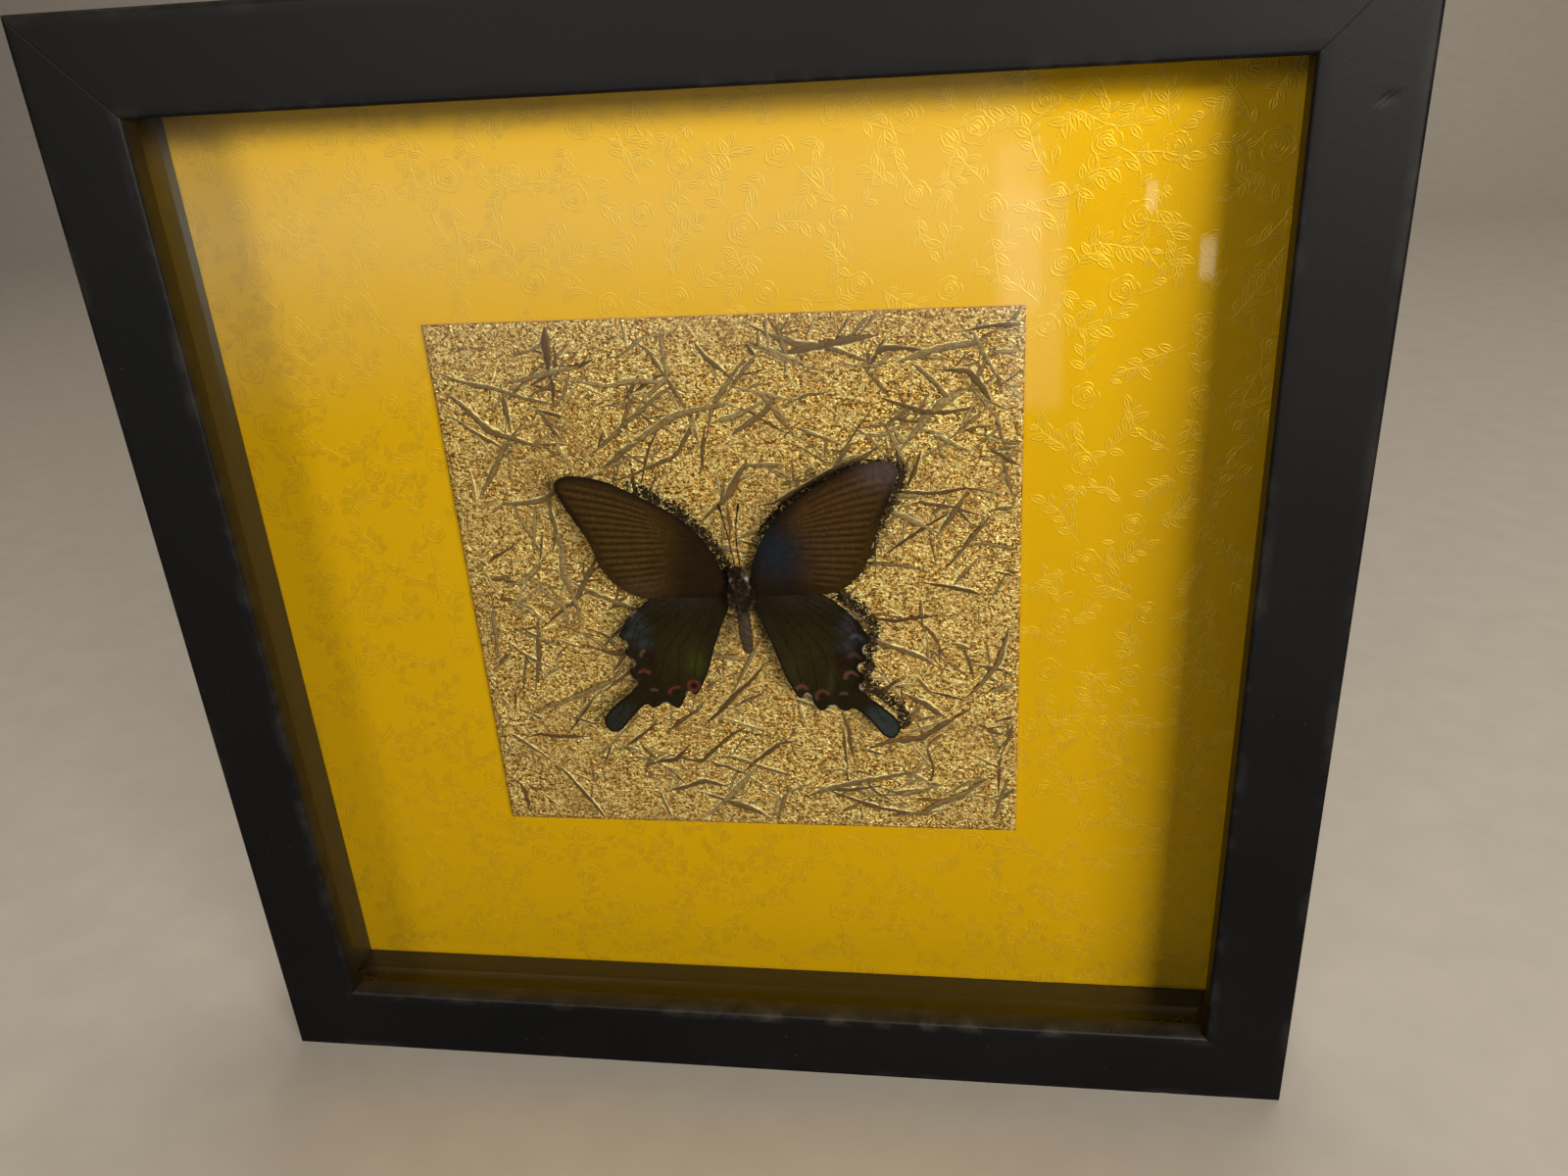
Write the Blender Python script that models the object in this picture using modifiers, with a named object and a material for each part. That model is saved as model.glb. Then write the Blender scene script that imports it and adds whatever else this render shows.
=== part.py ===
"""A spread swallowtail butterfly in a small box frame.

Black mitred mouldings hold, from the front to the back, a glass pane, four spacer strips, a yellow
embossed card with a square of crinkled gold foil card on it, and a back board pressed in by bent steel
points. The butterfly stands off the foil on a foam block behind its thorax.

Metres, +Z up. The front faces -Y, the frame stands on z = 0, and the origin is under its middle.
"""

import math

import bmesh
import bpy
from mathutils import Matrix, Vector

MM = 0.001

# Driving dimensions of the frame. Depths are measured back from its front face.
FRAME_SIDE = 250 * MM
FRAME_DEPTH = 35 * MM
FACE_WIDTH = 18.8 * MM
WALL = 8.5 * MM
LIP = 5.0 * MM
GAP = 0.3 * MM

# What the rebate holds.
GLASS_THICKNESS = 2.0 * MM
STRIP_THICKNESS = 3.0 * MM
CARD_DEPTH = 25.0 * MM
CARD_THICKNESS = 1.0 * MM
BOARD_THICKNESS = 3.0 * MM
PANE_CLEARANCE = 0.5 * MM
PANE_SIDE = FRAME_SIDE - 2 * (WALL + PANE_CLEARANCE)

# The foil card is glued on a little low and to the left, turned by a quarter of a degree.
FOIL_SIDE = 127 * MM
FOIL_THICKNESS = 0.8 * MM
FOIL_OFFSET = (-1.3 * MM, -2.2 * MM)
FOIL_TURN = math.radians(0.27)

# Bent steel points that press the back board in, two on each side.
POINT_SIZE = (8.0 * MM, 14.0 * MM, 0.5 * MM)
POINT_IN_WALL = 6.0 * MM
POINT_SPACING = 110 * MM

# Sawtooth hanger, riveted to the back board.
HANGER_WIDTH = 42 * MM
HANGER_HEIGHT = 9 * MM
HANGER_THICKNESS = 0.8 * MM
HANGER_BELOW_TOP = 24 * MM
HANGER_TEETH = 9
TOOTH_PITCH = 2.4 * MM
TOOTH_HEIGHT = 1.2 * MM
RIVET_SPACING = 34 * MM
RIVET_HEAD_RADIUS = 2.2 * MM
RIVET_HEAD_THICKNESS = 0.8 * MM
RIVET_RADIUS = 1.2 * MM
RIVET_LENGTH = 4.1 * MM

# The butterfly. Its middle is where the wings' axis crosses the foot of the forewings.
BUTTERFLY_X = 0.7 * MM
BUTTERFLY_Z = FRAME_SIDE / 2
WING_THICKNESS = 0.3 * MM
FOREWING_DEPTH = 18.0 * MM
FOREWING_RISE = math.radians(7)
RIGHT_FOREWING_TURN = math.radians(4)
RIGHT_FOREWING_SHIFT = (-0.5 * MM, 0.3 * MM)
HINDWING_DEPTH = 18.6 * MM
HINDWING_RISE = math.radians(2)
BODY_DEPTH = 16.0 * MM
BODY_X = 0.4 * MM
BODY_LEAN = math.radians(3.5)
BODY_SEGMENTS = 20
ANTENNA_RADIUS = 0.16 * MM
ANTENNA_CLUB = 2.4
FOAM_SIZE = (6 * MM, 4.4 * MM, 5 * MM)

# Half outlines in millimetres from the butterfly's middle: outward, then up.
FOREWING = [
    (2.9, 2.6), (4.2, 8.0), (7.7, 14.4), (12.3, 19.6), (18.7, 24.2), (26.0, 28.2), (32.0, 29.9),
    (36.2, 29.9), (38.2, 28.2), (37.4, 25.0), (35.0, 19.8), (32.3, 14.4), (30.6, 9.2), (28.2, 5.2),
    (24.9, 2.2), (21.1, 0.7), (16.5, 0.6), (10.0, 0.2), (3.1, 0.0),
]
HINDWING = [
    (2.9, 2.0), (2.6, -1.0), (3.4, -4.0), (5.0, -7.6), (7.2, -13.5), (8.9, -19.0), (11.7, -24.7),
    (13.0, -25.1), (14.1, -24.6), (16.6, -28.7), (19.6, -27.5), (22.5, -28.8), (24.7, -28.2),
    (28.2, -31.5), (30.8, -34.7), (33.0, -35.5), (34.9, -33.6), (34.2, -30.6), (31.4, -28.0),
    (28.0, -25.2), (26.2, -22.3), (27.2, -19.2), (26.0, -16.8), (27.8, -14.3), (27.3, -12.0),
    (28.8, -9.9), (27.4, -7.4), (25.7, -4.6), (22.4, -2.0), (19.5, 0.3), (14.0, 2.4), (7.0, 2.8),
]
WING_RESOLUTION = 3

# The body's outline in millimetres, from the head down: radius, then height.
BODY = [
    (0.0, 8.0), (0.8, 7.8), (1.45, 7.0), (1.5, 6.1), (1.0, 5.1), (1.8, 4.2), (2.5, 2.6), (2.6, 0.9),
    (2.2, -1.0), (1.35, -2.6), (1.45, -4.5), (1.45, -8.5), (1.2, -11.2), (0.7, -12.9), (0.0, -13.6),
]

# Where the antennae run, in millimetres from the butterfly's middle: across, then up.
LEFT_ANTENNA = [(-0.3, 8.6), (-0.7, 12.0), (-1.2, 16.0), (-1.9, 20.0), (-2.6, 23.2)]
RIGHT_ANTENNA = [(0.9, 8.6), (0.6, 12.6), (0.7, 16.6), (1.1, 20.0), (1.8, 23.4)]

FACE_CENTRE = Vector((0, 0, FRAME_SIDE / 2))


def at_depth(depth):
    """The y of a plane that lies this far behind the frame's front face."""
    return depth - FRAME_DEPTH / 2


def make_collections():
    parts = bpy.data.collections.new("framed_butterfly_specimen")
    cutters = bpy.data.collections.new("cutters")
    for collection in (parts, cutters):
        bpy.context.scene.collection.children.link(collection)
    return parts, cutters


def make_material(name, colour, roughness, metallic=0.0, transmission=0.0):
    material = bpy.data.materials.new(name)
    material.use_nodes = True
    shader = material.node_tree.nodes["Principled BSDF"]
    shader.inputs["Base Color"].default_value = (*colour, 1)
    shader.inputs["Roughness"].default_value = roughness
    shader.inputs["Metallic"].default_value = metallic
    shader.inputs["Transmission Weight"].default_value = transmission
    material.diffuse_color = (*colour, 1)
    return material


def make_materials():
    return {
        "black_paint": make_material("black_paint", (0.010, 0.009, 0.009), 0.38),
        "glass": make_material("glass", (0.95, 0.97, 0.96), 0.02, transmission=1.0),
        "yellow_card": make_material("yellow_card", (0.62, 0.40, 0.02), 0.4, metallic=0.6),
        "gold_foil": make_material("gold_foil", (0.60, 0.40, 0.13), 0.3, metallic=1.0),
        "foam": make_material("foam", (0.80, 0.79, 0.74), 0.9),
        "wing": make_material("wing", (0.030, 0.024, 0.016), 0.6),
        "body": make_material("body", (0.045, 0.035, 0.025), 0.8),
        "fibreboard": make_material("fibreboard", (0.30, 0.20, 0.11), 0.8),
        "steel": make_material("steel", (0.55, 0.55, 0.56), 0.35, metallic=1.0),
        "brass": make_material("brass", (0.62, 0.46, 0.20), 0.35, metallic=1.0),
    }


def finish_part(part, name, material, smooth_angle=None):
    part.name = name
    part.data.name = name
    part.data.materials.clear()
    part.data.materials.append(material)
    if smooth_angle is not None:
        part.data.shade_smooth()
        part.data.set_sharp_from_angle(angle=smooth_angle)
    move_to(part, PARTS)
    return part


def move_to(part, collection):
    for old in list(part.users_collection):
        old.objects.unlink(part)
    collection.objects.link(part)


def add_box(size, centre):
    bpy.ops.mesh.primitive_cube_add(size=1, location=centre)
    box = bpy.context.active_object
    box.scale = size
    bpy.ops.object.transform_apply(location=False, rotation=False, scale=True)
    return box


def cut(part, cutter):
    """Takes the cutter's shape out of the part, and leaves the cutter as a wire guide."""
    move_to(cutter, CUTTERS)
    cutter.hide_render = True
    cutter.display_type = "WIRE"
    boolean = part.modifiers.new("cut_" + cutter.name, "BOOLEAN")
    boolean.operation = "DIFFERENCE"
    boolean.solver = "EXACT"
    boolean.object = cutter


def curve_outline(name, splines, thickness):
    """A flat outline in the local XY plane as a closed mesh. A spline is (points, is_smooth)."""
    curve = bpy.data.curves.new(name, "CURVE")
    curve.dimensions = "2D"
    curve.fill_mode = "BOTH"
    curve.extrude = thickness / 2
    curve.resolution_u = WING_RESOLUTION
    for points, is_smooth in splines:
        spline = curve.splines.new("BEZIER")
        spline.bezier_points.add(len(points) - 1)
        spline.use_cyclic_u = True
        for point, (x, y) in zip(spline.bezier_points, points):
            point.co = (x, y, 0)
            point.handle_left_type = "AUTO" if is_smooth else "VECTOR"
            point.handle_right_type = point.handle_left_type
        if not is_smooth:
            spline.resolution_u = 1
    return curve_to_mesh(name, curve)


def curve_to_mesh(name, curve):
    guide = bpy.data.objects.new(name + "_outline", curve)
    bpy.context.scene.collection.objects.link(guide)
    evaluated = guide.evaluated_get(bpy.context.evaluated_depsgraph_get())
    mesh = bpy.data.meshes.new_from_object(evaluated)
    bpy.data.objects.remove(guide)
    bm = bmesh.new()
    bm.from_mesh(mesh)
    bmesh.ops.remove_doubles(bm, verts=bm.verts, dist=0.00001)
    bmesh.ops.recalc_face_normals(bm, faces=bm.faces)
    bm.to_mesh(mesh)
    bm.free()
    part = bpy.data.objects.new(name, mesh)
    bpy.context.scene.collection.objects.link(part)
    return part


def arc(centre, radius, start, end, steps=4):
    angles = [math.radians(start + (end - start) * i / steps) for i in range(steps + 1)]
    return [(centre[0] + radius * math.cos(a), centre[1] + radius * math.sin(a)) for a in angles]


def turn_to_side(part, quarter_turns):
    """Moves a part made for the bottom side, about the face's centre, to another side."""
    part.location = FACE_CENTRE
    part.rotation_euler = (0, quarter_turns * math.pi / 2, 0)


def moulding_mesh():
    """The bottom moulding about the face's centre: an L section, mitred at both ends."""
    outer_round = 1.2 * MM
    inner_round = 0.8 * MM
    section = arc((outer_round, outer_round), outer_round, 180, 270)
    section += arc((FACE_WIDTH - inner_round, inner_round), inner_round, 270, 360)
    section += [(FACE_WIDTH, LIP), (WALL, LIP), (WALL, FRAME_DEPTH), (0, FRAME_DEPTH)]
    bar = curve_outline("moulding", [(section, False)], FRAME_SIDE)
    place = Matrix(((0, 0, -1, 0), (0, 1, 0, at_depth(0)), (1, 0, 0, -FRAME_SIDE / 2), (0, 0, 0, 1)))
    bar.data.transform(place)
    bm = bmesh.new()
    bm.from_mesh(bar.data)
    for side in (-1, 1):
        normal = Vector((side, 0, 1)).normalized()
        cut_faces = bmesh.ops.bisect_plane(
            bm,
            geom=bm.verts[:] + bm.edges[:] + bm.faces[:],
            plane_co=-normal * GAP / 2,
            plane_no=normal,
            clear_outer=True,
        )
        edges = [e for e in cut_faces["geom_cut"] if isinstance(e, bmesh.types.BMEdge)]
        bmesh.ops.edgenet_fill(bm, edges=edges)
    bmesh.ops.recalc_face_normals(bm, faces=bm.faces)
    mesh = bpy.data.meshes.new("moulding")
    bm.to_mesh(mesh)
    bm.free()
    bpy.data.objects.remove(bar)
    return mesh


def build_mouldings(materials):
    mesh = moulding_mesh()
    for quarter_turns, side in enumerate(SIDES):
        moulding = bpy.data.objects.new("moulding_" + side, mesh.copy())
        turn_to_side(moulding, quarter_turns)
        finish_part(moulding, "moulding_" + side, materials["black_paint"], math.radians(40))
        for number, x in enumerate(POINT_PLACES):
            slot = add_box(
                (POINT_SIZE[0] + 2 * GAP, POINT_SIZE[2] + 2 * GAP, POINT_IN_WALL + GAP), (0, 0, 0)
            )
            slot_floor = WALL - (POINT_IN_WALL + GAP) / 2 - FRAME_SIDE / 2
            slot.data.transform(Matrix.Translation((x, POINT_Y, slot_floor)))
            slot.name = f"slot_{side}_{number + 1}"
            turn_to_side(slot, quarter_turns)
            cut(moulding, slot)


def build_points(materials):
    for quarter_turns, side in enumerate(SIDES):
        for number, x in enumerate(POINT_PLACES):
            point = add_box((POINT_SIZE[0], POINT_SIZE[2], POINT_SIZE[1]), (0, 0, 0))
            height = WALL - POINT_IN_WALL + POINT_SIZE[1] / 2 - FRAME_SIDE / 2
            point.data.transform(Matrix.Translation((x, POINT_Y, height)))
            turn_to_side(point, quarter_turns)
            finish_part(point, f"retaining_point_{side}_{number + 1}", materials["steel"])


def build_glass(materials):
    centre = FACE_CENTRE + Vector((0, at_depth(GLASS_FRONT + GLASS_THICKNESS / 2), 0))
    glass = add_box((PANE_SIDE, GLASS_THICKNESS, PANE_SIDE), centre)
    finish_part(glass, "glass_pane", materials["glass"])


def build_strips(materials):
    front = GLASS_FRONT + GLASS_THICKNESS + GAP
    depth = CARD_DEPTH - GAP - front
    long_side = FRAME_SIDE - 2 * (WALL + GAP)
    short_side = long_side - 2 * (STRIP_THICKNESS + GAP)
    height = WALL + GAP + STRIP_THICKNESS / 2 - FRAME_SIDE / 2
    for quarter_turns, side in enumerate(SIDES):
        length = long_side if side in ("bottom", "top") else short_side
        strip = add_box((length, depth, STRIP_THICKNESS), (0, 0, 0))
        strip.data.transform(Matrix.Translation((0, at_depth(front + depth / 2), height)))
        turn_to_side(strip, quarter_turns)
        finish_part(strip, "spacer_strip_" + side, materials["black_paint"])


def build_cards(materials):
    centre = FACE_CENTRE + Vector((0, at_depth(CARD_DEPTH + CARD_THICKNESS / 2), 0))
    card = add_box((PANE_SIDE, CARD_THICKNESS, PANE_SIDE), centre)
    finish_part(card, "embossed_card", materials["yellow_card"])

    foil_y = at_depth(FOIL_FRONT + FOIL_THICKNESS / 2)
    foil_centre = FACE_CENTRE + Vector((FOIL_OFFSET[0], foil_y, FOIL_OFFSET[1]))
    foil = add_box((FOIL_SIDE, FOIL_THICKNESS, FOIL_SIDE), foil_centre)
    foil.rotation_euler = (0, -FOIL_TURN, 0)
    finish_part(foil, "gold_foil_card", materials["gold_foil"])


def build_back_board(materials):
    centre = FACE_CENTRE + Vector((0, at_depth(BOARD_FRONT + BOARD_THICKNESS / 2), 0))
    board = add_box((PANE_SIDE, BOARD_THICKNESS, PANE_SIDE), centre)
    finish_part(board, "back_board", materials["fibreboard"])
    for number, x in enumerate(RIVET_PLACES):
        bpy.ops.mesh.primitive_cylinder_add(
            vertices=16,
            radius=RIVET_RADIUS + GAP,
            depth=3 * BOARD_THICKNESS,
            location=(x, centre.y, HANGER_Z),
            rotation=(math.pi / 2, 0, 0),
        )
        hole = bpy.context.active_object
        hole.name = f"rivet_hole_{number + 1}"
        cut(board, hole)


def hanger_outline():
    """The plate's outline, with teeth along the lower edge between its two ears."""
    half_width = HANGER_WIDTH / 2
    half_height = HANGER_HEIGHT / 2
    toothed = HANGER_TEETH * TOOTH_PITCH / 2
    outline = [(half_width, -half_height), (half_width, half_height)]
    outline += [(-half_width, half_height), (-half_width, -half_height), (-toothed, -half_height)]
    for tooth in range(HANGER_TEETH):
        left = -toothed + tooth * TOOTH_PITCH
        outline.append((left, TOOTH_HEIGHT - half_height))
        outline.append((left + TOOTH_PITCH / 2, 2 * TOOTH_HEIGHT - half_height))
    outline.append((toothed, TOOTH_HEIGHT - half_height))
    outline.append((toothed, -half_height))
    return outline


def build_hanger(materials):
    splines = [(hanger_outline(), False)]
    for x in RIVET_PLACES:
        splines.append((arc((x, 0), RIVET_RADIUS + GAP, 0, 337.5, steps=15), False))
    hanger = curve_outline("sawtooth_hanger", splines, HANGER_THICKNESS)
    hanger.rotation_euler = (math.pi / 2, 0, 0)
    hanger.location = (0, at_depth(HANGER_FRONT + HANGER_THICKNESS / 2), HANGER_Z)
    finish_part(hanger, "sawtooth_hanger", materials["brass"])

    shank = RIVET_LENGTH + RIVET_HEAD_THICKNESS
    profile = [(0, 0), (RIVET_HEAD_RADIUS * 0.7, 0), (RIVET_HEAD_RADIUS, -0.4 * MM)]
    profile += [(RIVET_HEAD_RADIUS, -RIVET_HEAD_THICKNESS), (RIVET_RADIUS, -RIVET_HEAD_THICKNESS)]
    profile += [(RIVET_RADIUS, -shank), (0, -shank)]
    for number, x in enumerate(RIVET_PLACES):
        rivet = turned(profile, 16)
        rivet.rotation_euler = (-math.pi / 2, 0, 0)
        head_back = HANGER_FRONT + HANGER_THICKNESS + GAP + RIVET_HEAD_THICKNESS
        rivet.location = (x, at_depth(head_back), HANGER_Z)
        finish_part(rivet, f"hanger_rivet_{number + 1}", materials["brass"], math.radians(40))


def turned(profile, steps):
    """A shape turned about Z from (radius, height) points that run from the top to the bottom."""
    mesh = bpy.data.meshes.new("turned")
    edges = [(i, i + 1) for i in range(len(profile) - 1)]
    mesh.from_pydata([(radius, 0, height) for radius, height in profile], edges, [])
    part = bpy.data.objects.new("turned", mesh)
    bpy.context.scene.collection.objects.link(part)
    screw = part.modifiers.new("turn", "SCREW")
    screw.axis = "Z"
    screw.steps = steps
    screw.render_steps = steps
    screw.use_merge_vertices = True
    screw.merge_threshold = 0.00001
    return part


def build_wing(name, outline, side, depth, rise, material, turn=0.0, shift=(0.0, 0.0)):
    """A wing, flat, hinged on the butterfly's middle line so that its tip rises towards the glass."""
    points = [(side * x * MM, y * MM) for x, y in outline]
    if side < 0:
        points.reverse()
    wing = curve_outline(name, [(points, True)], WING_THICKNESS)
    root = Vector((side * outline[0][0], outline[0][1], 0)) * MM
    turned_in_plane = (
        Matrix.Translation(root) @ Matrix.Rotation(side * turn, 4, "Z") @ Matrix.Translation(-root)
    )
    shifted = Matrix.Translation((side * shift[0], shift[1], 0))
    upright = Matrix.Rotation(math.pi / 2, 4, "X")
    risen = Matrix.Rotation(-side * rise, 4, "Z")
    wing.data.transform(risen @ upright @ shifted @ turned_in_plane)
    wing.location = (BUTTERFLY_X, at_depth(depth), BUTTERFLY_Z)
    return finish_part(wing, name, material)


def build_wings(materials):
    wing = materials["wing"]
    build_wing("forewing_left", FOREWING, -1, FOREWING_DEPTH, FOREWING_RISE, wing)
    build_wing(
        "forewing_right",
        FOREWING,
        1,
        FOREWING_DEPTH,
        FOREWING_RISE,
        wing,
        RIGHT_FOREWING_TURN,
        RIGHT_FOREWING_SHIFT,
    )
    build_wing("hindwing_left", HINDWING, -1, HINDWING_DEPTH, HINDWING_RISE, wing)
    build_wing("hindwing_right", HINDWING, 1, HINDWING_DEPTH, HINDWING_RISE, wing)


def build_body(materials):
    body = turned([(radius * MM, height * MM) for radius, height in BODY], BODY_SEGMENTS)
    body.rotation_euler = (0, -BODY_LEAN, 0)
    body.location = (BUTTERFLY_X + BODY_X, at_depth(BODY_DEPTH), BUTTERFLY_Z)
    finish_part(body, "butterfly_body", materials["body"], math.radians(60))

    foam_back = FOIL_FRONT - GAP
    foam_centre = (BUTTERFLY_X + BODY_X, at_depth(foam_back - FOAM_SIZE[1] / 2), BUTTERFLY_Z + 1.5 * MM)
    foam = add_box(FOAM_SIZE, foam_centre)
    finish_part(foam, "foam_block", materials["foam"])


def build_antenna(name, places, material):
    curve = bpy.data.curves.new(name, "CURVE")
    curve.dimensions = "3D"
    curve.bevel_depth = ANTENNA_RADIUS
    curve.bevel_resolution = 2
    curve.use_fill_caps = True
    spline = curve.splines.new("POLY")
    spline.points.add(len(places) - 1)
    for i, (point, (x, z)) in enumerate(zip(spline.points, places)):
        point.co = (x * MM, 0, z * MM, 1)
        point.radius = ANTENNA_CLUB if i == len(places) - 1 else 1.0
    antenna = curve_to_mesh(name, curve)
    antenna.location = (BUTTERFLY_X, at_depth(BODY_DEPTH), BUTTERFLY_Z)
    return finish_part(antenna, name, material, math.radians(60))


def clear_scene():
    for old in list(bpy.data.objects):
        bpy.data.objects.remove(old, do_unlink=True)


# Planes and places that follow from the driving dimensions.
SIDES = ("bottom", "left", "top", "right")
GLASS_FRONT = LIP + GAP
FOIL_FRONT = CARD_DEPTH - GAP - FOIL_THICKNESS
BOARD_FRONT = CARD_DEPTH + CARD_THICKNESS + GAP
BOARD_BACK = BOARD_FRONT + BOARD_THICKNESS
POINT_Y = at_depth(BOARD_BACK + GAP + POINT_SIZE[2] / 2)
POINT_PLACES = (-POINT_SPACING / 2, POINT_SPACING / 2)
HANGER_FRONT = BOARD_BACK + GAP
HANGER_Z = FRAME_SIDE - HANGER_BELOW_TOP
RIVET_PLACES = (-RIVET_SPACING / 2, RIVET_SPACING / 2)

clear_scene()
PARTS, CUTTERS = make_collections()
MATERIALS = make_materials()
build_mouldings(MATERIALS)
build_points(MATERIALS)
build_glass(MATERIALS)
build_strips(MATERIALS)
build_cards(MATERIALS)
build_back_board(MATERIALS)
build_hanger(MATERIALS)
build_wings(MATERIALS)
build_body(MATERIALS)
build_antenna("antenna_left", LEFT_ANTENNA, MATERIALS["body"])
build_antenna("antenna_right", RIGHT_ANTENNA, MATERIALS["body"])
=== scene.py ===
import math

import bmesh
import bpy
import numpy as np
from mathutils import Matrix, Vector
from mathutils.geometry import delaunay_2d_cdt


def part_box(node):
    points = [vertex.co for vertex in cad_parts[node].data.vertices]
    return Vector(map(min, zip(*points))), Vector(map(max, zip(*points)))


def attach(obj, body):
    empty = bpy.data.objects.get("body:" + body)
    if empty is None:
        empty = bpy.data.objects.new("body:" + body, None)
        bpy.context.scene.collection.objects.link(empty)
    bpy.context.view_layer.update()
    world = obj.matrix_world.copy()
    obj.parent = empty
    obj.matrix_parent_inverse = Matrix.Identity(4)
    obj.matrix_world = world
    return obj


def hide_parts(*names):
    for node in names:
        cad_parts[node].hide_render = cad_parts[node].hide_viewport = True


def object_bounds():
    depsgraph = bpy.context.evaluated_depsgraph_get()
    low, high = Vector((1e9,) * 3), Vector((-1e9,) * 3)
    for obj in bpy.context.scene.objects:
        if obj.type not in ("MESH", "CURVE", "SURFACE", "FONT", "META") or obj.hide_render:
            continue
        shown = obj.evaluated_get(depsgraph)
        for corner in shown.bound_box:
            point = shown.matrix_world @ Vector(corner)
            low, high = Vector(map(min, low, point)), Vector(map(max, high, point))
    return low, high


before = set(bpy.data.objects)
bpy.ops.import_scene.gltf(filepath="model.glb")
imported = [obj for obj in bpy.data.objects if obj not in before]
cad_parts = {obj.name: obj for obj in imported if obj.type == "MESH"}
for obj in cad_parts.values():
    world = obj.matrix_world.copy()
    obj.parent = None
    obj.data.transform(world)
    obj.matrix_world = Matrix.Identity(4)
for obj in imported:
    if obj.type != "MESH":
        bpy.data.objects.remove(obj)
CAD_BOX = [list(map(float, corner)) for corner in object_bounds()]

MM = 0.001
TAU = 2 * math.pi

# The frame, as in the CAD.
FRAME_LOW, FRAME_HIGH = (Vector(corner) for corner in CAD_BOX)
FRAME_SIDE = FRAME_HIGH.x - FRAME_LOW.x
FRAME_DEPTH = FRAME_HIGH.y - FRAME_LOW.y
HALF = FRAME_SIDE / 2
CENTRE = Vector((0, 0, FRAME_LOW.z + HALF))
FACE_WIDTH = 18.8 * MM
WALL = 8.5 * MM
LIP = 5.0 * MM
SEAM = 0.03 * MM
SIDES = ("bottom", "left", "top", "right")
# Where the right moulding's paint is chipped, in mm: along the moulding, and in from its outer face.
NICK = (HALF / MM - 20, 7.0)


# ---------------------------------------------------------------- node helpers


class Shade:
    """A node material under construction, with its Principled shader in .bsdf."""

    def __init__(self, name, **sockets):
        self.material = bpy.data.materials.new(name)
        self.material.use_nodes = True
        self.tree = self.material.node_tree
        self.bsdf = self.tree.nodes["Principled BSDF"]
        for socket, value in sockets.items():
            self.set(socket, value)

    def set(self, socket, value):
        target = self.bsdf.inputs[socket.replace("_", " ")]
        if isinstance(value, bpy.types.NodeSocket):
            self.tree.links.new(value, target)
        elif isinstance(value, (tuple, list)):
            target.default_value = (*value, 1.0) if len(value) == 3 else value
        else:
            target.default_value = value

    def node(self, kind, inputs=(), **settings):
        node = self.tree.nodes.new(kind)
        for key, value in settings.items():
            setattr(node, key, value)
        for key, value in dict(inputs).items():
            if isinstance(value, bpy.types.NodeSocket):
                self.tree.links.new(value, node.inputs[key])
            else:
                node.inputs[key].default_value = value
        return node

    def place(self):
        return self.node("ShaderNodeTexCoord").outputs["Object"]

    def stretched(self, scale, turn=(0.0, 0.0, 0.0)):
        inputs = {"Vector": self.place(), "Scale": scale, "Rotation": turn}
        return self.node("ShaderNodeMapping", inputs).outputs["Vector"]

    def noise(self, scale, detail=2.0, roughness=0.5, vector=None, distortion=0.0):
        inputs = {
            "Vector": vector or self.place(),
            "Scale": scale,
            "Detail": detail,
            "Roughness": roughness,
            "Distortion": distortion,
        }
        return self.node("ShaderNodeTexNoise", inputs).outputs["Fac"]

    def cells(self, scale, vector=None):
        inputs = {"Vector": vector or self.place(), "Scale": scale}
        return self.node("ShaderNodeTexVoronoi", inputs).outputs["Distance"]

    def ramp(self, value, stops):
        node = self.node("ShaderNodeValToRGB", {"Fac": value})
        elements = node.color_ramp.elements
        while len(elements) < len(stops):
            elements.new(0.5)
        for element, (position, colour) in zip(elements, stops):
            element.position = position
            element.color = (*colour, 1) if isinstance(colour, tuple) else (colour,) * 3 + (1,)
        return node.outputs["Color"]

    def mix(self, amount, first, second, blend="MIX"):
        node = self.node("ShaderNodeMix", data_type="RGBA", blend_type=blend)
        for number, value in ((0, amount), (6, first), (7, second)):
            if isinstance(value, bpy.types.NodeSocket):
                self.tree.links.new(value, node.inputs[number])
            else:
                node.inputs[number].default_value = (*value, 1) if isinstance(value, tuple) else value
        return node.outputs[2]

    def calc(self, kind, *values, clamp=False):
        return self.node("ShaderNodeMath", enumerate(values), operation=kind, use_clamp=clamp).outputs[0]

    def times(self, first, second, clamp=False):
        return self.calc("MULTIPLY", first, second, clamp=clamp)

    def line(self, value, slope, start, clamp=False):
        return self.calc("MULTIPLY_ADD", value, slope, start, clamp=clamp)

    def attribute(self, name, output="Fac"):
        return self.node("ShaderNodeAttribute", attribute_name=name).outputs[output]

    def facing_up(self):
        """1 on faces that look straight up, 0 on upright ones."""
        normal = self.node("ShaderNodeNewGeometry").outputs["Normal"]
        up = self.node("ShaderNodeSeparateXYZ", {0: normal}).outputs["Z"]
        return self.calc("MAXIMUM", up, 0.0)

    def bump(self, height, distance, strength=1.0):
        inputs = {"Height": height, "Distance": distance, "Strength": strength}
        self.set("Normal", self.node("ShaderNodeBump", inputs).outputs["Normal"])


# ---------------------------------------------------------------- mesh helpers


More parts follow.
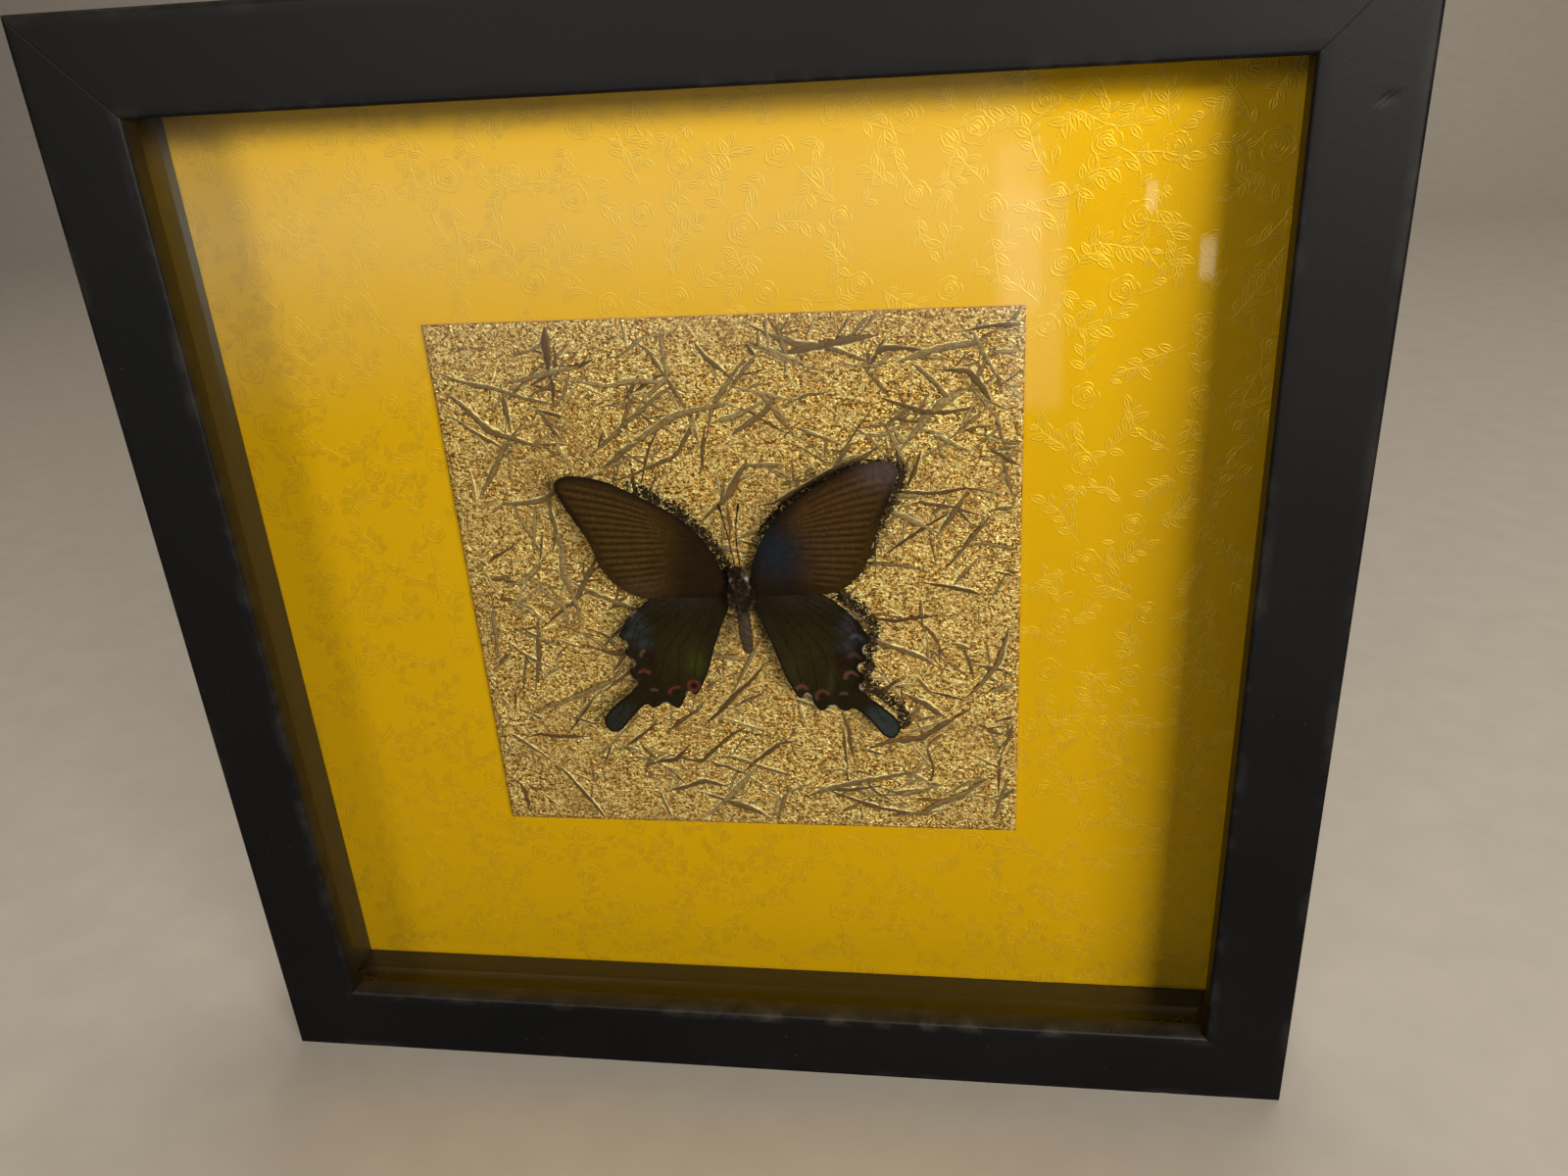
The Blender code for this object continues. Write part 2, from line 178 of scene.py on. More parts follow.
def add_piece(name, points, faces, material, replaces=(), attributes=()):
    """A smooth-shaded piece on the part's one body, with a float or colour a point for each attribute."""
    mesh = bpy.data.meshes.new(name)
    mesh.from_pydata(np.asarray(points, float).tolist(), [], faces)
    mesh.validate()
    mesh.materials.append(material)
    for key, values in dict(attributes).items():
        values = np.asarray(values, np.float32)
        if values.ndim == 2:
            colour = mesh.color_attributes.new(key, "FLOAT_COLOR", "POINT")
            colour.data.foreach_set("color", np.c_[values, np.ones(len(values))].ravel())
        else:
            mesh.attributes.new(key, "FLOAT", "POINT").data.foreach_set("value", values)
    mesh.shade_smooth()
    piece = bpy.data.objects.new(name, mesh)
    bpy.context.scene.collection.objects.link(piece)
    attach(piece, "root")
    if replaces:
        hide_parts(*replaces)
    return piece


def dress(node, material, bevel=0.0):
    """Gives a CAD node its material and, if asked, softly rounded edges."""
    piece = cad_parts[node]
    piece.data.materials.clear()
    piece.data.materials.append(material)
    if bevel:
        rounded = piece.modifiers.new("rounded", "BEVEL")
        rounded.width = bevel
        rounded.segments = 2
        rounded.limit_method = "ANGLE"
        rounded.harden_normals = True


def catmull(points, steps, closed=False):
    """A smooth line through points, as a numpy array."""
    p = np.asarray(points, float)
    count = len(p)
    if closed:
        p = np.concatenate([p[-1:], p, p[:2]])
    else:
        p = np.concatenate([2 * p[:1] - p[1:2], p, 2 * p[-1:] - p[-2:-1]])
    out = []
    for i in range(count if closed else count - 1):
        a, b, c, d = p[i : i + 4]
        square, cube = 2 * a - 5 * b + 4 * c - d, 3 * b - a - 3 * c + d
        for k in range(steps):
            t = k / steps
            out.append(0.5 * (2 * b + (c - a) * t + square * t * t + cube * t**3))
    if not closed:
        out.append(p[-2])
    return np.array(out)


def evenly(line, step, closed=False):
    """The same line with points about step apart."""
    if closed:
        line = np.concatenate([line, line[:1]])
    lengths = np.r_[0, np.cumsum(np.linalg.norm(np.diff(line, axis=0), axis=1))]
    count = max(3, round(lengths[-1] / step))
    places = np.linspace(0, lengths[-1], count + 1)
    if closed:
        places = places[:-1]
    return np.stack([np.interp(places, lengths, line[:, k]) for k in range(line.shape[1])], axis=1)


def line_distance(points, line, closed=False):
    """Each point's distance to a line of 2D points."""
    a = line if not closed else np.concatenate([line, line[:1]])
    best = np.full(len(points), 1e9)
    for start, end in zip(a[:-1], a[1:]):
        along = end - start
        t = np.clip((points - start) @ along / max(along @ along, 1e-12), 0, 1)
        best = np.minimum(best, np.linalg.norm(points - start - t[:, None] * along, axis=1))
    return best


def inside(points, outline):
    x, y = points.T
    hit = np.zeros(len(points), bool)
    for (x0, y0), (x1, y1) in zip(outline, np.roll(outline, -1, axis=0)):
        if y0 != y1:
            hit ^= ((y0 > y) != (y1 > y)) & (x < (x1 - x0) * (y - y0) / (y1 - y0) + x0)
    return hit


def ease(low, high, value):
    t = np.clip((value - low) / (high - low), 0, 1)
    return t * t * (3 - 2 * t)


def hump(value, centre, width):
    return np.exp(-(((value - centre) / width) ** 2))


def blob(points, centre, size):
    """1 at a centre in the plane, fading over a size that is given across and up."""
    return np.exp(-(((points - centre) / size) ** 2).sum(axis=1))


def heading(angle):
    """The unit vector, or vectors, at an angle."""
    return np.stack([np.cos(angle), np.sin(angle)], axis=-1)


def sideways(line):
    """Unit vectors across a 2D line, one a point."""
    along = np.gradient(line, axis=0)
    along /= np.linalg.norm(along, axis=1)[:, None] + 1e-9
    return np.stack([-along[:, 1], along[:, 0]], axis=1)


def outward_normals(outline):
    """Unit vectors away from the middle of a closed outline, one a point."""
    along = np.roll(outline, -1, axis=0) - np.roll(outline, 1, axis=0)
    outward = np.stack([along[:, 1], -along[:, 0]], axis=1)
    outward /= np.linalg.norm(outward, axis=1)[:, None]
    if ((outline - outline.mean(axis=0)) * outward).sum() < 0:
        outward = -outward
    return outward


def band_faces(rows, width, base=0, closed=False):
    """Quads between rows of points, each width long; closed also joins the ends of each row."""
    faces = []
    for i in range(rows - 1):
        for k in range(width if closed else width - 1):
            a, b = base + i * width + k, base + i * width + (k + 1) % width
            faces.append((a, b, b + width, a + width))
    return faces


def end_caps(rows, width, base=0):
    """The two polygons that close a tube made by band_faces."""
    last = base + (rows - 1) * width
    return [tuple(base + k for k in reversed(range(width))), tuple(last + k for k in range(width))]


def close_sheet(points, faces, row, base, back):
    """Gives sides and a flat back to a sheet whose front is a square grid of points from base on."""
    index = base + np.arange(row * row).reshape(row, row)
    rim = np.concatenate([index[0], index[1:, -1], index[-1, -2::-1], index[-2:0:-1, 0]]).tolist()
    rear = len(points)
    for k in range(len(rim)):
        n = (k + 1) % len(rim)
        faces.append((rim[n], rim[k], rear + k, rear + n))
    faces.append(tuple(rear + k for k in reversed(range(len(rim)))))
    return np.concatenate([points, [(points[i][0], back, points[i][2]) for i in rim]])


def clean(piece, merge=0.0):
    """Joins points that are closer than merge, and turns every face outwards."""
    mesh = bmesh.new()
    mesh.from_mesh(piece.data)
    if merge:
        bmesh.ops.remove_doubles(mesh, verts=mesh.verts, dist=merge)
    bmesh.ops.recalc_face_normals(mesh, faces=mesh.faces)
    mesh.to_mesh(piece.data)
    mesh.free()


def tubes(lines, radii, sides):
    """Closed tubes round 3D lines; each line has one radius a point."""
    points, faces = [], []
    for line, radius in zip(lines, radii):
        line = np.asarray(line, float)
        radius = np.broadcast_to(radius, len(line))
        along = np.gradient(line, axis=0)
        along /= np.linalg.norm(along, axis=1)[:, None] + 1e-12
        side = np.cross(along, (0.31, 0.87, 0.38))
        side /= np.linalg.norm(side, axis=1)[:, None] + 1e-12
        up = np.cross(side, along)
        base = len(points)
        for p, s, u, r in zip(line, side, up, radius):
            for k in range(sides):
                angle = TAU * k / sides
                points.append(p + r * (s * math.cos(angle) + u * math.sin(angle)))
        faces += band_faces(len(line), sides, base, closed=True) + end_caps(len(line), sides, base)
    return points, faces


# ---------------------------------------------------------------- camera, lights and floor


def aim(thing, target):
    thing.rotation_euler = (Vector(target) - thing.location).to_track_quat("-Z", "Y").to_euler()


def area_light(name, place, target, size, power, colour, height=None):
    light = bpy.data.lights.new(name, "AREA")
    light.energy = power
    light.color = colour
    light.size = size
    if height:
        light.shape = "RECTANGLE"
        light.size_y = height
    lamp = bpy.data.objects.new(name, light)
    lamp.location = place
    aim(lamp, target)
    lamp.visible_camera = False
    bpy.context.scene.collection.objects.link(lamp)
    return lamp


def soften(lamp, across, up):
    """Fades an area lamp towards its edges, so its reflection in the glass has a soft outline."""
    lamp.data.use_nodes = True
    tree = lamp.data.node_tree
    place = tree.nodes.new("ShaderNodeSeparateXYZ")
    tree.links.new(tree.nodes.new("ShaderNodeNewGeometry").outputs["Parametric"], place.inputs[0])
    strength = tree.nodes.new("ShaderNodeMath")
    strength.operation = "MULTIPLY"
    for slot, (axis, share) in enumerate((("X", across), ("Y", up))):
        ramp = tree.nodes.new("ShaderNodeValToRGB")
        ramp.color_ramp.interpolation = "EASE"
        stops = ramp.color_ramp.elements
        stops[0].color, stops[1].color = (0, 0, 0, 1), (0, 0, 0, 1)
        for position in (share, 1 - share):
            stops.new(position).color = (1, 1, 1, 1)
        tree.links.new(place.outputs[axis], ramp.inputs["Fac"])
        tree.links.new(ramp.outputs["Color"], strength.inputs[slot])
    tree.links.new(strength.outputs[0], tree.nodes["Emission"].inputs["Strength"])


def build_stage():
    camera = bpy.data.objects.new("camera", bpy.data.cameras.new("camera"))
    camera.location = (0.05019, -0.24658, 0.24386)
    camera.rotation_euler = [math.radians(angle) for angle in (64.862, 3.302, 7.590)]
    camera.data.sensor_width = 36
    camera.data.lens = 28.648
    camera.data.clip_start = 0.01
    bpy.context.scene.collection.objects.link(camera)
    bpy.context.scene.camera = camera

    world = bpy.data.worlds.new("studio")
    world.use_nodes = True
    sky = world.node_tree.nodes["Background"]
    sky.inputs["Color"].default_value = (1.0, 0.92, 0.80, 1)
    sky.inputs["Strength"].default_value = 0.015
    world.cycles.sampling_method = "NONE"
    bpy.context.scene.world = world
    bpy.context.scene.view_settings.view_transform = "Standard"

    warm = (1.0, 0.94, 0.84)
    area_light("key", (0.62, -1.25, 0.60), CENTRE, 0.3, 11.5, warm, height=0.2)
    area_light("right", (1.0, -1.1, 0.50), CENTRE, 0.5, 13, warm, height=0.3)
    area_light("left", (-0.50, -1.45, 0.54), CENTRE, 0.4, 5.5, warm, height=0.25)
    area_light("overhead", (0.15, 0.55, 2.0), (0.05, 0.1, 0), 1.0, 17, warm)
    # What the glass mirrors: name, place, width, height, power, colour, and soft edges across and up.
    for name, place, width, height, power, colour, edges in (
        ("veil", (-0.295, -0.9, 0.10), 0.84, 0.22, 0.48, (0.70, 0.92, 1.0), (0.06, 0.45)),
        ("window", (0.083, -0.6, 0.105), 0.036, 0.12, 0.014, (1.0, 0.97, 0.92), (0.22, 0.12)),
        ("spark", (0.163, -0.6, 0.123), 0.010, 0.025, 0.0022, (1.0, 0.97, 0.92), (0.3, 0.3)),
    ):
        lamp = area_light(name, place, (place[0], 0, place[2]), width, power, colour, height=height)
        soften(lamp, *edges)
        lamp.visible_diffuse = False

    reach, wall_foot, bend, wall_top = 14.0, 1.2, 0.8, 6.0
    profile = [(-reach, 0.0), (wall_foot, 0.0)]
    for a in np.linspace(0.1, math.pi / 2, 12):
        profile.append((wall_foot + bend * math.sin(a), bend - bend * math.cos(a)))
    profile.append((wall_foot + bend, wall_top))
    points = [(x, y, z + FRAME_LOW.z) for y, z in profile for x in (-reach, reach)]
    mesh = bpy.data.meshes.new("floor")
    mesh.from_pydata(points, [], band_faces(len(profile), 2))
    mesh.shade_smooth()
    shade = Shade("floor_paint", Roughness=0.75)
    speckle = shade.noise(60, 4, 0.6)
    shade.set("Base Color", shade.ramp(speckle, [(0.3, (0.50, 0.455, 0.395)), (0.7, (0.54, 0.49, 0.43))]))
    mesh.materials.append(shade.material)
    floor = bpy.data.objects.new("floor", mesh)
    bpy.context.scene.collection.objects.link(floor)
    floor.visible_glossy = floor.visible_transmission = False


# ---------------------------------------------------------------- materials of the frame


def paint_material():
    """Satin black paint with brush marks, worn arrises and dust on what faces up."""
    shade = Shade("satin_black_paint", Specular_IOR_Level=0.19)
    grain = shade.noise(260, 5, 0.6)
    cloud = shade.noise(22, 3, 0.5)
    colour = shade.mix(cloud, (0.0036, 0.0037, 0.0042), (0.0062, 0.0061, 0.0064))
    broken = shade.ramp(shade.noise(90, 4, 0.65), [(0.5, 0.0), (0.72, 1.0)])
    rub = shade.times(shade.attribute("edge"), broken)
    colour = shade.mix(shade.times(rub, 0.26, clamp=True), colour, (0.11, 0.095, 0.075))
    fleck = shade.ramp(shade.cells(420), [(0.035, 1.0), (0.06, 0.0)])
    sparse = shade.ramp(shade.noise(35, 2, 0.5), [(0.60, 0.0), (0.66, 1.0)])
    colour = shade.mix(shade.times(fleck, sparse), colour, (0.16, 0.15, 0.13))
    dust = shade.ramp(shade.noise(150, 5, 0.7), [(0.35, 0.15), (0.75, 0.8)])
    settled = shade.times(shade.facing_up(), dust)
    colour = shade.mix(shade.times(settled, 0.30), colour, (0.13, 0.115, 0.09))
    shade.set("Base Color", colour)
    shade.set("Roughness", shade.ramp(cloud, [(0.3, 0.44), (0.7, 0.50)]))
    fine = shade.noise(1500, 3, 0.6)
    shade.bump(shade.line(grain, 0.45, shade.times(fine, 0.4)), 0.00006, 0.6)
    return shade.material


def strip_material():
    """Smoother black paint on the spacer strips, with faint lengthwise marks."""
    shade = Shade("strip_black_paint", Specular_IOR_Level=0.5)
    streak = shade.noise(120, 4, 0.6, vector=shade.stretched((1, 6, 1)))
    shade.set("Base Color", shade.mix(streak, (0.012, 0.0105, 0.008), (0.022, 0.019, 0.014)))
    shade.set("Roughness", shade.ramp(streak, [(0.3, 0.30), (0.7, 0.42)]))
    shade.bump(streak, 0.00005, 0.5)
    return shade.material


def glass_material():
    tint = (0.985, 0.995, 0.988)
    shade = Shade("clear_glass", Base_Color=tint, Transmission_Weight=1.0, IOR=1.5, Roughness=0.0)
    shade.bump(shade.noise(7, 1, 0.4), 0.00004, 0.25)
    return shade.material


def board_material():
    shade = Shade("hardboard", Roughness=0.75)
    fibre = shade.noise(700, 6, 0.7, vector=shade.stretched((1, 1, 2.2), (0, 0.5, 0)))
    cloud = shade.noise(16, 3, 0.6)
    colour = shade.mix(fibre, (0.17, 0.105, 0.055), (0.36, 0.245, 0.145))
    shade.set("Base Color", shade.mix(shade.times(cloud, 0.5), colour, (0.22, 0.14, 0.075)))
    shade.bump(fibre, 0.00012, 0.7)
    return shade.material


def metal_material(name, dark, light, streak_scale):
    shade = Shade(name, Metallic=1.0)
    streak = shade.noise(900, 3, 0.6, vector=shade.stretched(streak_scale))
    blot = shade.noise(260, 4, 0.6)
    shade.set("Base Color", shade.mix(blot, dark, light))
    shade.set("Roughness", shade.ramp(streak, [(0.3, 0.28), (0.7, 0.5)]))
    shade.bump(streak, 0.00003, 0.6)
    return shade.material


def foam_material():
    shade = Shade("foam", Roughness=0.95)
    pores = shade.cells(2600)
    shade.set("Base Color", shade.ramp(pores, [(0.05, (0.45, 0.43, 0.38)), (0.4, (0.78, 0.76, 0.70))]))
    shade.bump(pores, 0.0002)
    return shade.material


# ---------------------------------------------------------------- frame


def arc(centre, radius, start, end, steps):
    angles = np.radians(np.linspace(start, end, steps + 1))
    return [(centre[0] + radius * math.cos(a), centre[1] + radius * math.sin(a)) for a in angles]


def moulding_section():
    """The moulding's section as (across from the outer face, depth), with how worn each point gets."""
    outer, inner, small = 1.2 * MM, 0.8 * MM, 0.3 * MM
    parts = [
        (arc((outer, outer), outer, 180, 270, 6), 0.7),
        ([(FACE_WIDTH * k / 20, 0) for k in range(3, 18)], 0.0),
        (arc((FACE_WIDTH - inner, inner), inner, 270, 360, 6), 1.0),
        (arc((FACE_WIDTH - small, LIP - small), small, 0, 90, 2), 0.3),
        ([(WALL, LIP)], 0.0),
        ([(WALL, LIP + (FRAME_DEPTH - LIP) * k / 4) for k in range(1, 4)], 0.0),
        (arc((WALL - small, FRAME_DEPTH - small), small, 0, 90, 2), 0.5),
        (arc((outer / 2, FRAME_DEPTH - outer / 2), outer / 2, 90, 180, 3), 0.8),
    ]
    section = [point for points, _ in parts for point in points]
    wear = [amount for points, amount in parts for _ in points]
    return np.array(section), np.array(wear)


def build_mouldings():
    """Four mitred mouldings, with a fine V where two meet and small dents along the arrises."""
    section, wear = moulding_section()
    outward = outward_normals(section)
    count = len(section)
    material = paint_material()
    rng = np.random.default_rng(11)
    half = HALF / MM
    mitre_depth, ripple, chip_depth = 0.025, 0.006, 0.30  # mm
    dent_length, dent_width, dent_count = 0.9, 1.5, 9
    for quarter, side in enumerate(SIDES):
        places = [-half, -half + 0.15, -half + 0.5]
        places += list(np.linspace(-half + 2, half - 2, 150))
        places += [half - 0.5, half - 0.15, half]
        if side == "right":
            places = sorted(places + [NICK[0] + 0.3 * k for k in range(-6, 7)])
        dents = [
            (rng.uniform(-110, 110), rng.integers(0, count), rng.uniform(0.04, 0.13))
            for _ in range(dent_count)
        ]
        points, edge = [], []
        for i, place in enumerate(places):
            at_end = i in (0, len(places) - 1)
            for k, (across, depth) in enumerate(section):
                sunk = mitre_depth if at_end else 0.0
                sunk += ripple * math.sin(place * 0.21 + k) * math.sin(place * 0.043 + 2 * quarter)
                if wear[k]:
                    for spot, at, deep in dents:
                        away = ((place - spot) / dent_length) ** 2 + ((k - at) / dent_width) ** 2
                        sunk += deep * math.exp(-away)
                worn = 0.6 * wear[k]
                if side == "bottom":
                    worn = wear[k] * (0.7 + 0.7 * ease(-35, 5, place) * (across > 0.9 * FACE_WIDTH))
                if side == "right" and depth == 0:
                    slant = (place - NICK[0]) - 1.1 * (across / MM - NICK[1])
                    nick = math.exp(-((slant / 0.45) ** 2) - ((across / MM - NICK[1]) / 1.0) ** 2)
                    sunk += chip_depth * nick
                    worn += 1.5 * nick
                inset = max(sunk, 0.0) * MM
                a = across - inset * outward[k][0]
                d = depth - inset * outward[k][1]
                x = place * MM * (HALF - across - SEAM) / HALF
                points.append((x, d - FRAME_DEPTH / 2, a - HALF))
                edge.append(worn)
        faces = band_faces(len(places), count, closed=True) + end_caps(len(places), count)
        turn = Matrix.Translation(CENTRE) @ Matrix.Rotation(quarter * math.pi / 2, 4, "Y")
        points = [turn @ Vector(p) for p in points]
        name, looks = "moulding_" + side, {"edge": edge}
        piece = add_piece("painted_" + name, points, faces, material, [name], attributes=looks)
        clean(piece)
        piece.data.set_sharp_from_angle(angle=math.radians(40))


# ---------------------------------------------------------------- embossed card


def card_material():
    """Metallic yellow card with a fine pearly grain."""
    shade = Shade("embossed_yellow_card", Metallic=0.42, Specular_IOR_Level=0.12)
    cloud = shade.noise(14, 3, 0.5)
    grain = shade.noise(2400, 2, 0.6)
    colour = shade.mix(cloud, (0.75, 0.435, 0.001), (0.84, 0.50, 0.002))
    colour = shade.mix(shade.times(grain, 0.5), colour, (0.60, 0.33, 0.002))
    # Painted shade on the flanks of the embossed ridges, and a painted highlight on their tops.
    colour = shade.mix(shade.attribute("painted_relief_shade"), colour, (0.36, 0.20, 0.001))
    shade.set("Base Color", shade.mix(shade.attribute("top"), colour, (0.94, 0.64, 0.06)))
    shade.set("Roughness", shade.ramp(grain, [(0.3, 0.40), (0.7, 0.52)]))
    shade.bump(grain, 0.00006, 0.7)
    return shade.material


ROSE_SPACING = 12.5
LEAF_SPACING = 1.75


def clear(place, taken, spacing):
    """Whether a place is more than spacing away from all that are taken."""
    return all((place[0] - x) ** 2 + (place[1] - y) ** 2 > spacing**2 for x, y in taken)


def leaf_lines(foot, angle, length, width):
    """The two edges and the midrib of an embossed leaf."""
    t = np.linspace(0, 1, 6)
    bulge = width / 2 * np.sin(math.pi * t**0.8)
    along, across = heading(angle), heading(angle + math.pi / 2)
    edges = [foot + np.outer(t * length, along) + np.outer(sign * bulge, across) for sign in (-1, 1)]
    rib = foot + np.outer(np.linspace(0.1, 0.75, 3) * length, along)
    return edges + [rib]


def rose_lines(centre, radius, rng):
    lines = []
    for ring, share in enumerate((0.25, 0.55, 0.85)):
        steps = (6, 9, 11)[ring]
        angles = rng.uniform(0, TAU) + np.linspace(0, TAU * (0.88 - 0.06 * ring), steps)
        wobble = 1 + 0.13 * np.sin(5 * angles + ring)
        lines.append(centre + radius * share * wobble[:, None] * heading(angles))
    for petal in range(5):
        angle = TAU * petal / 5 + rng.uniform(-0.2, 0.2)
        t = np.linspace(-0.62, 0.62, 5)
        reach = radius * (1.15 + 0.25 * np.cos(t * 2.4))
        lines.append(centre + reach[:, None] * heading(angle + t))
    return lines


def sprig_lines(start, angle, length, bend, rng, taken):
    """A curved stem with leaves on both sides, where there is still room."""
    steps = 9
    t = np.linspace(0, 1, steps)
    headings = angle + bend * t + 0.25 * np.sin(TAU * t + rng.uniform(0, TAU))
    stem = start + np.cumsum(heading(headings) * length / steps, axis=0)
    lines = [stem]
    for i in range(1, steps):
        for sign in (-1, 1) if i < steps - 1 else (0,):
            if sign and rng.random() < 0.25:
                continue
            leaf_angle = headings[i] + sign * rng.uniform(0.6, 1.0)
            size = rng.uniform(2.4, 3.9)
            middle = stem[i] + size * 0.6 * heading(leaf_angle)
            if clear(middle, taken, LEAF_SPACING):
                taken.append(tuple(middle))
                lines += leaf_lines(stem[i], leaf_angle, size, size * rng.uniform(0.36, 0.5))
    return lines


def emboss(lines, half_width, height, y):
    """Low rounded ridges along lines, in millimetres about the card's middle."""
    points, faces = [], []
    profile = ((-1.0, -0.12), (0.0, 1.0), (1.0, -0.12))  # across, rise
    for line in lines:
        along = np.linspace(0, 1, len(line))
        fade = np.minimum(1, 0.25 + 3 * np.minimum(along, along[::-1]))
        base = len(points)
        for p, side, share in zip(line, sideways(line), fade):
            for offset, rise in profile:
                q = p + side * offset * half_width * (0.6 + 0.4 * share)
                points.append((q[0] * MM, y - height * rise * share * MM, CENTRE.z + q[1] * MM))
        faces += band_faces(len(line), len(profile), base)
    return points, faces


def build_card():
    """The card's front as a gently wavy grid, with the roses and sprigs and one crease as ridges on it."""
    low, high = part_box("embossed_card")
    front, back = low[1], high[1]
    foil = [np.array((corner[0], corner[2] - CENTRE.z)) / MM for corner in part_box("gold_foil_card")]
    rng = np.random.default_rng(5)
    shown = (HALF - WALL) / MM - 3.5

    def hidden(p, margin=1.0):
        return (foil[0] + margin < p).all() and (p < foil[1] - margin).all()

    lines, taken, roses = [], [], []
    for _ in range(5000):
        p = rng.uniform(-shown, shown, 2)
        if not hidden(p, -2) and clear(p, roses, ROSE_SPACING):
            roses.append(tuple(p))
            radius = rng.uniform(1.7, 2.5)
            lines += rose_lines(p, radius, rng)
            taken += [tuple(p + radius * heading(TAU * k / 8)) for k in range(8)]
    for rose in roses:
        for k in range(3):
            angle = TAU * k / 3 + rng.uniform(-0.6, 0.6)
            start = rose + 3.1 * heading(angle)
            lines += sprig_lines(start, angle, rng.uniform(8, 16), rng.uniform(-1.2, 1.2), rng, taken)
    limit = shown + 3.2
    kept = [line for line in lines if not hidden(line.mean(axis=0)) and np.abs(line).max() < limit]
    crease = catmull([(-68, -78.5), (-55, -81), (-40, -85.5), (-28, -87.5)], 8)
    points, faces = emboss(kept, half_width=0.27, height=0.12, y=front)
    ridge_points = len(points)
    more, more_faces = emboss([crease], half_width=0.45, height=0.06, y=front)
    faces += [tuple(i + len(points) for i in face) for face in more_faces]
    points += more

    base = len(points)
    cells = 90
    grid = np.linspace(low[0], high[0], cells + 1)
    for z in grid:
        for x in grid:
            swell = 0.05 * math.sin(x * 31 + 1) * math.sin(z * 27) + 0.035 * math.sin(x * 74 + z * 52)
            edge_hold = min(1.0, 20 * (HALF - WALL - max(abs(x), abs(z))) / HALF)
            points.append((x, front - abs(swell) * max(edge_hold, 0) * 0.3 * MM, CENTRE.z + z))
    faces += band_faces(cells + 1, cells + 1, base)
    points = close_sheet(points, faces, cells + 1, base, back)
    # Painted shade on the ridges' flanks, and a painted highlight on their tops that grows towards the upper
    # right, where the light falls.
    painted_relief_shade, top = np.zeros(len(points)), np.zeros(len(points))
    painted_relief_shade[0:ridge_points:3] = painted_relief_shade[2:ridge_points:3] = 0.9
    across, up = (points[1:ridge_points:3, [0, 2]] - (0, CENTRE.z)).T / HALF
    top[1:ridge_points:3] = 0.12 + 0.43 * ease(-0.7, 1.1, across + up)
    tints = {"painted_relief_shade": painted_relief_shade, "top": top}
    name, slot = "embossed_yellow_card", "yellow_card"
    add_piece(name, points, faces, card_material(), ["embossed_card"], attributes=tints)


# ---------------------------------------------------------------- crinkled foil card


def foil_material():
    """Gold foil: grain with painted glints and shade, crease flats painted dark, painted edge glints and
    shade, painted wing reflection.
    """
    shade = Shade("crinkled_gold_foil", Specular_IOR_Level=0.04)
    crease = shade.attribute("crease")
    slanted = shade.stretched((1, 1, 1.7), (0, 0.5, 0))
    wrinkles = shade.noise(1050, 2, 0.6, vector=slanted, distortion=0.9)
    grain = shade.noise(1700, 2, 0.6)
    patches = shade.noise(60, 3, 0.6)
    mottle = shade.line(wrinkles, 0.55, shade.times(grain, 0.45))
    # Painted light in the grain: its bright gold stands for lamp glints, and its dark brown for shade in the
    # pits.
    golds = [(0.42, (0.18, 0.085, 0.018)), (0.51, (0.78, 0.45, 0.095)), (0.575, (1.0, 0.90, 0.37))]
    gold = shade.ramp(mottle, golds)
    gold = shade.mix(shade.ramp(patches, [(0.35, 0.0), (0.70, 0.45)]), gold, (0.44, 0.26, 0.080))
    # Painted shade: the crease flats and the rims turned from the lamp go dark brown.
    colour = shade.mix(crease, gold, (0.098, 0.052, 0.020))
    # Painted highlight: pale gold on the rims that face the lamp.
    painted_glint = shade.attribute("painted_glint")
    colour = shade.mix(painted_glint, colour, (1.0, 0.92, 0.48))
    # Painted reflection: near the wings the grain goes nearly black, for the dark wings mirrored in the foil.
    reach = shade.line(shade.attribute("painted_reflection"), 0.42, 0.22)
    reflection_dark = shade.times(shade.calc("SUBTRACT", reach, mottle), 9.0, clamp=True)
    shade.set("Base Color", shade.mix(reflection_dark, colour, (0.042, 0.025, 0.011)))
    metal = shade.line(painted_glint, -0.45, 0.65)
    shade.set("Metallic", shade.line(crease, -0.35, metal, clamp=True))
    shade.set("Roughness", shade.line(crease, 0.14, 0.24))
    rough = shade.times(mottle, shade.calc("SUBTRACT", 1.0, shade.times(crease, 0.85)))
    shade.bump(rough, 0.0009, 1.0)
    return shade.material


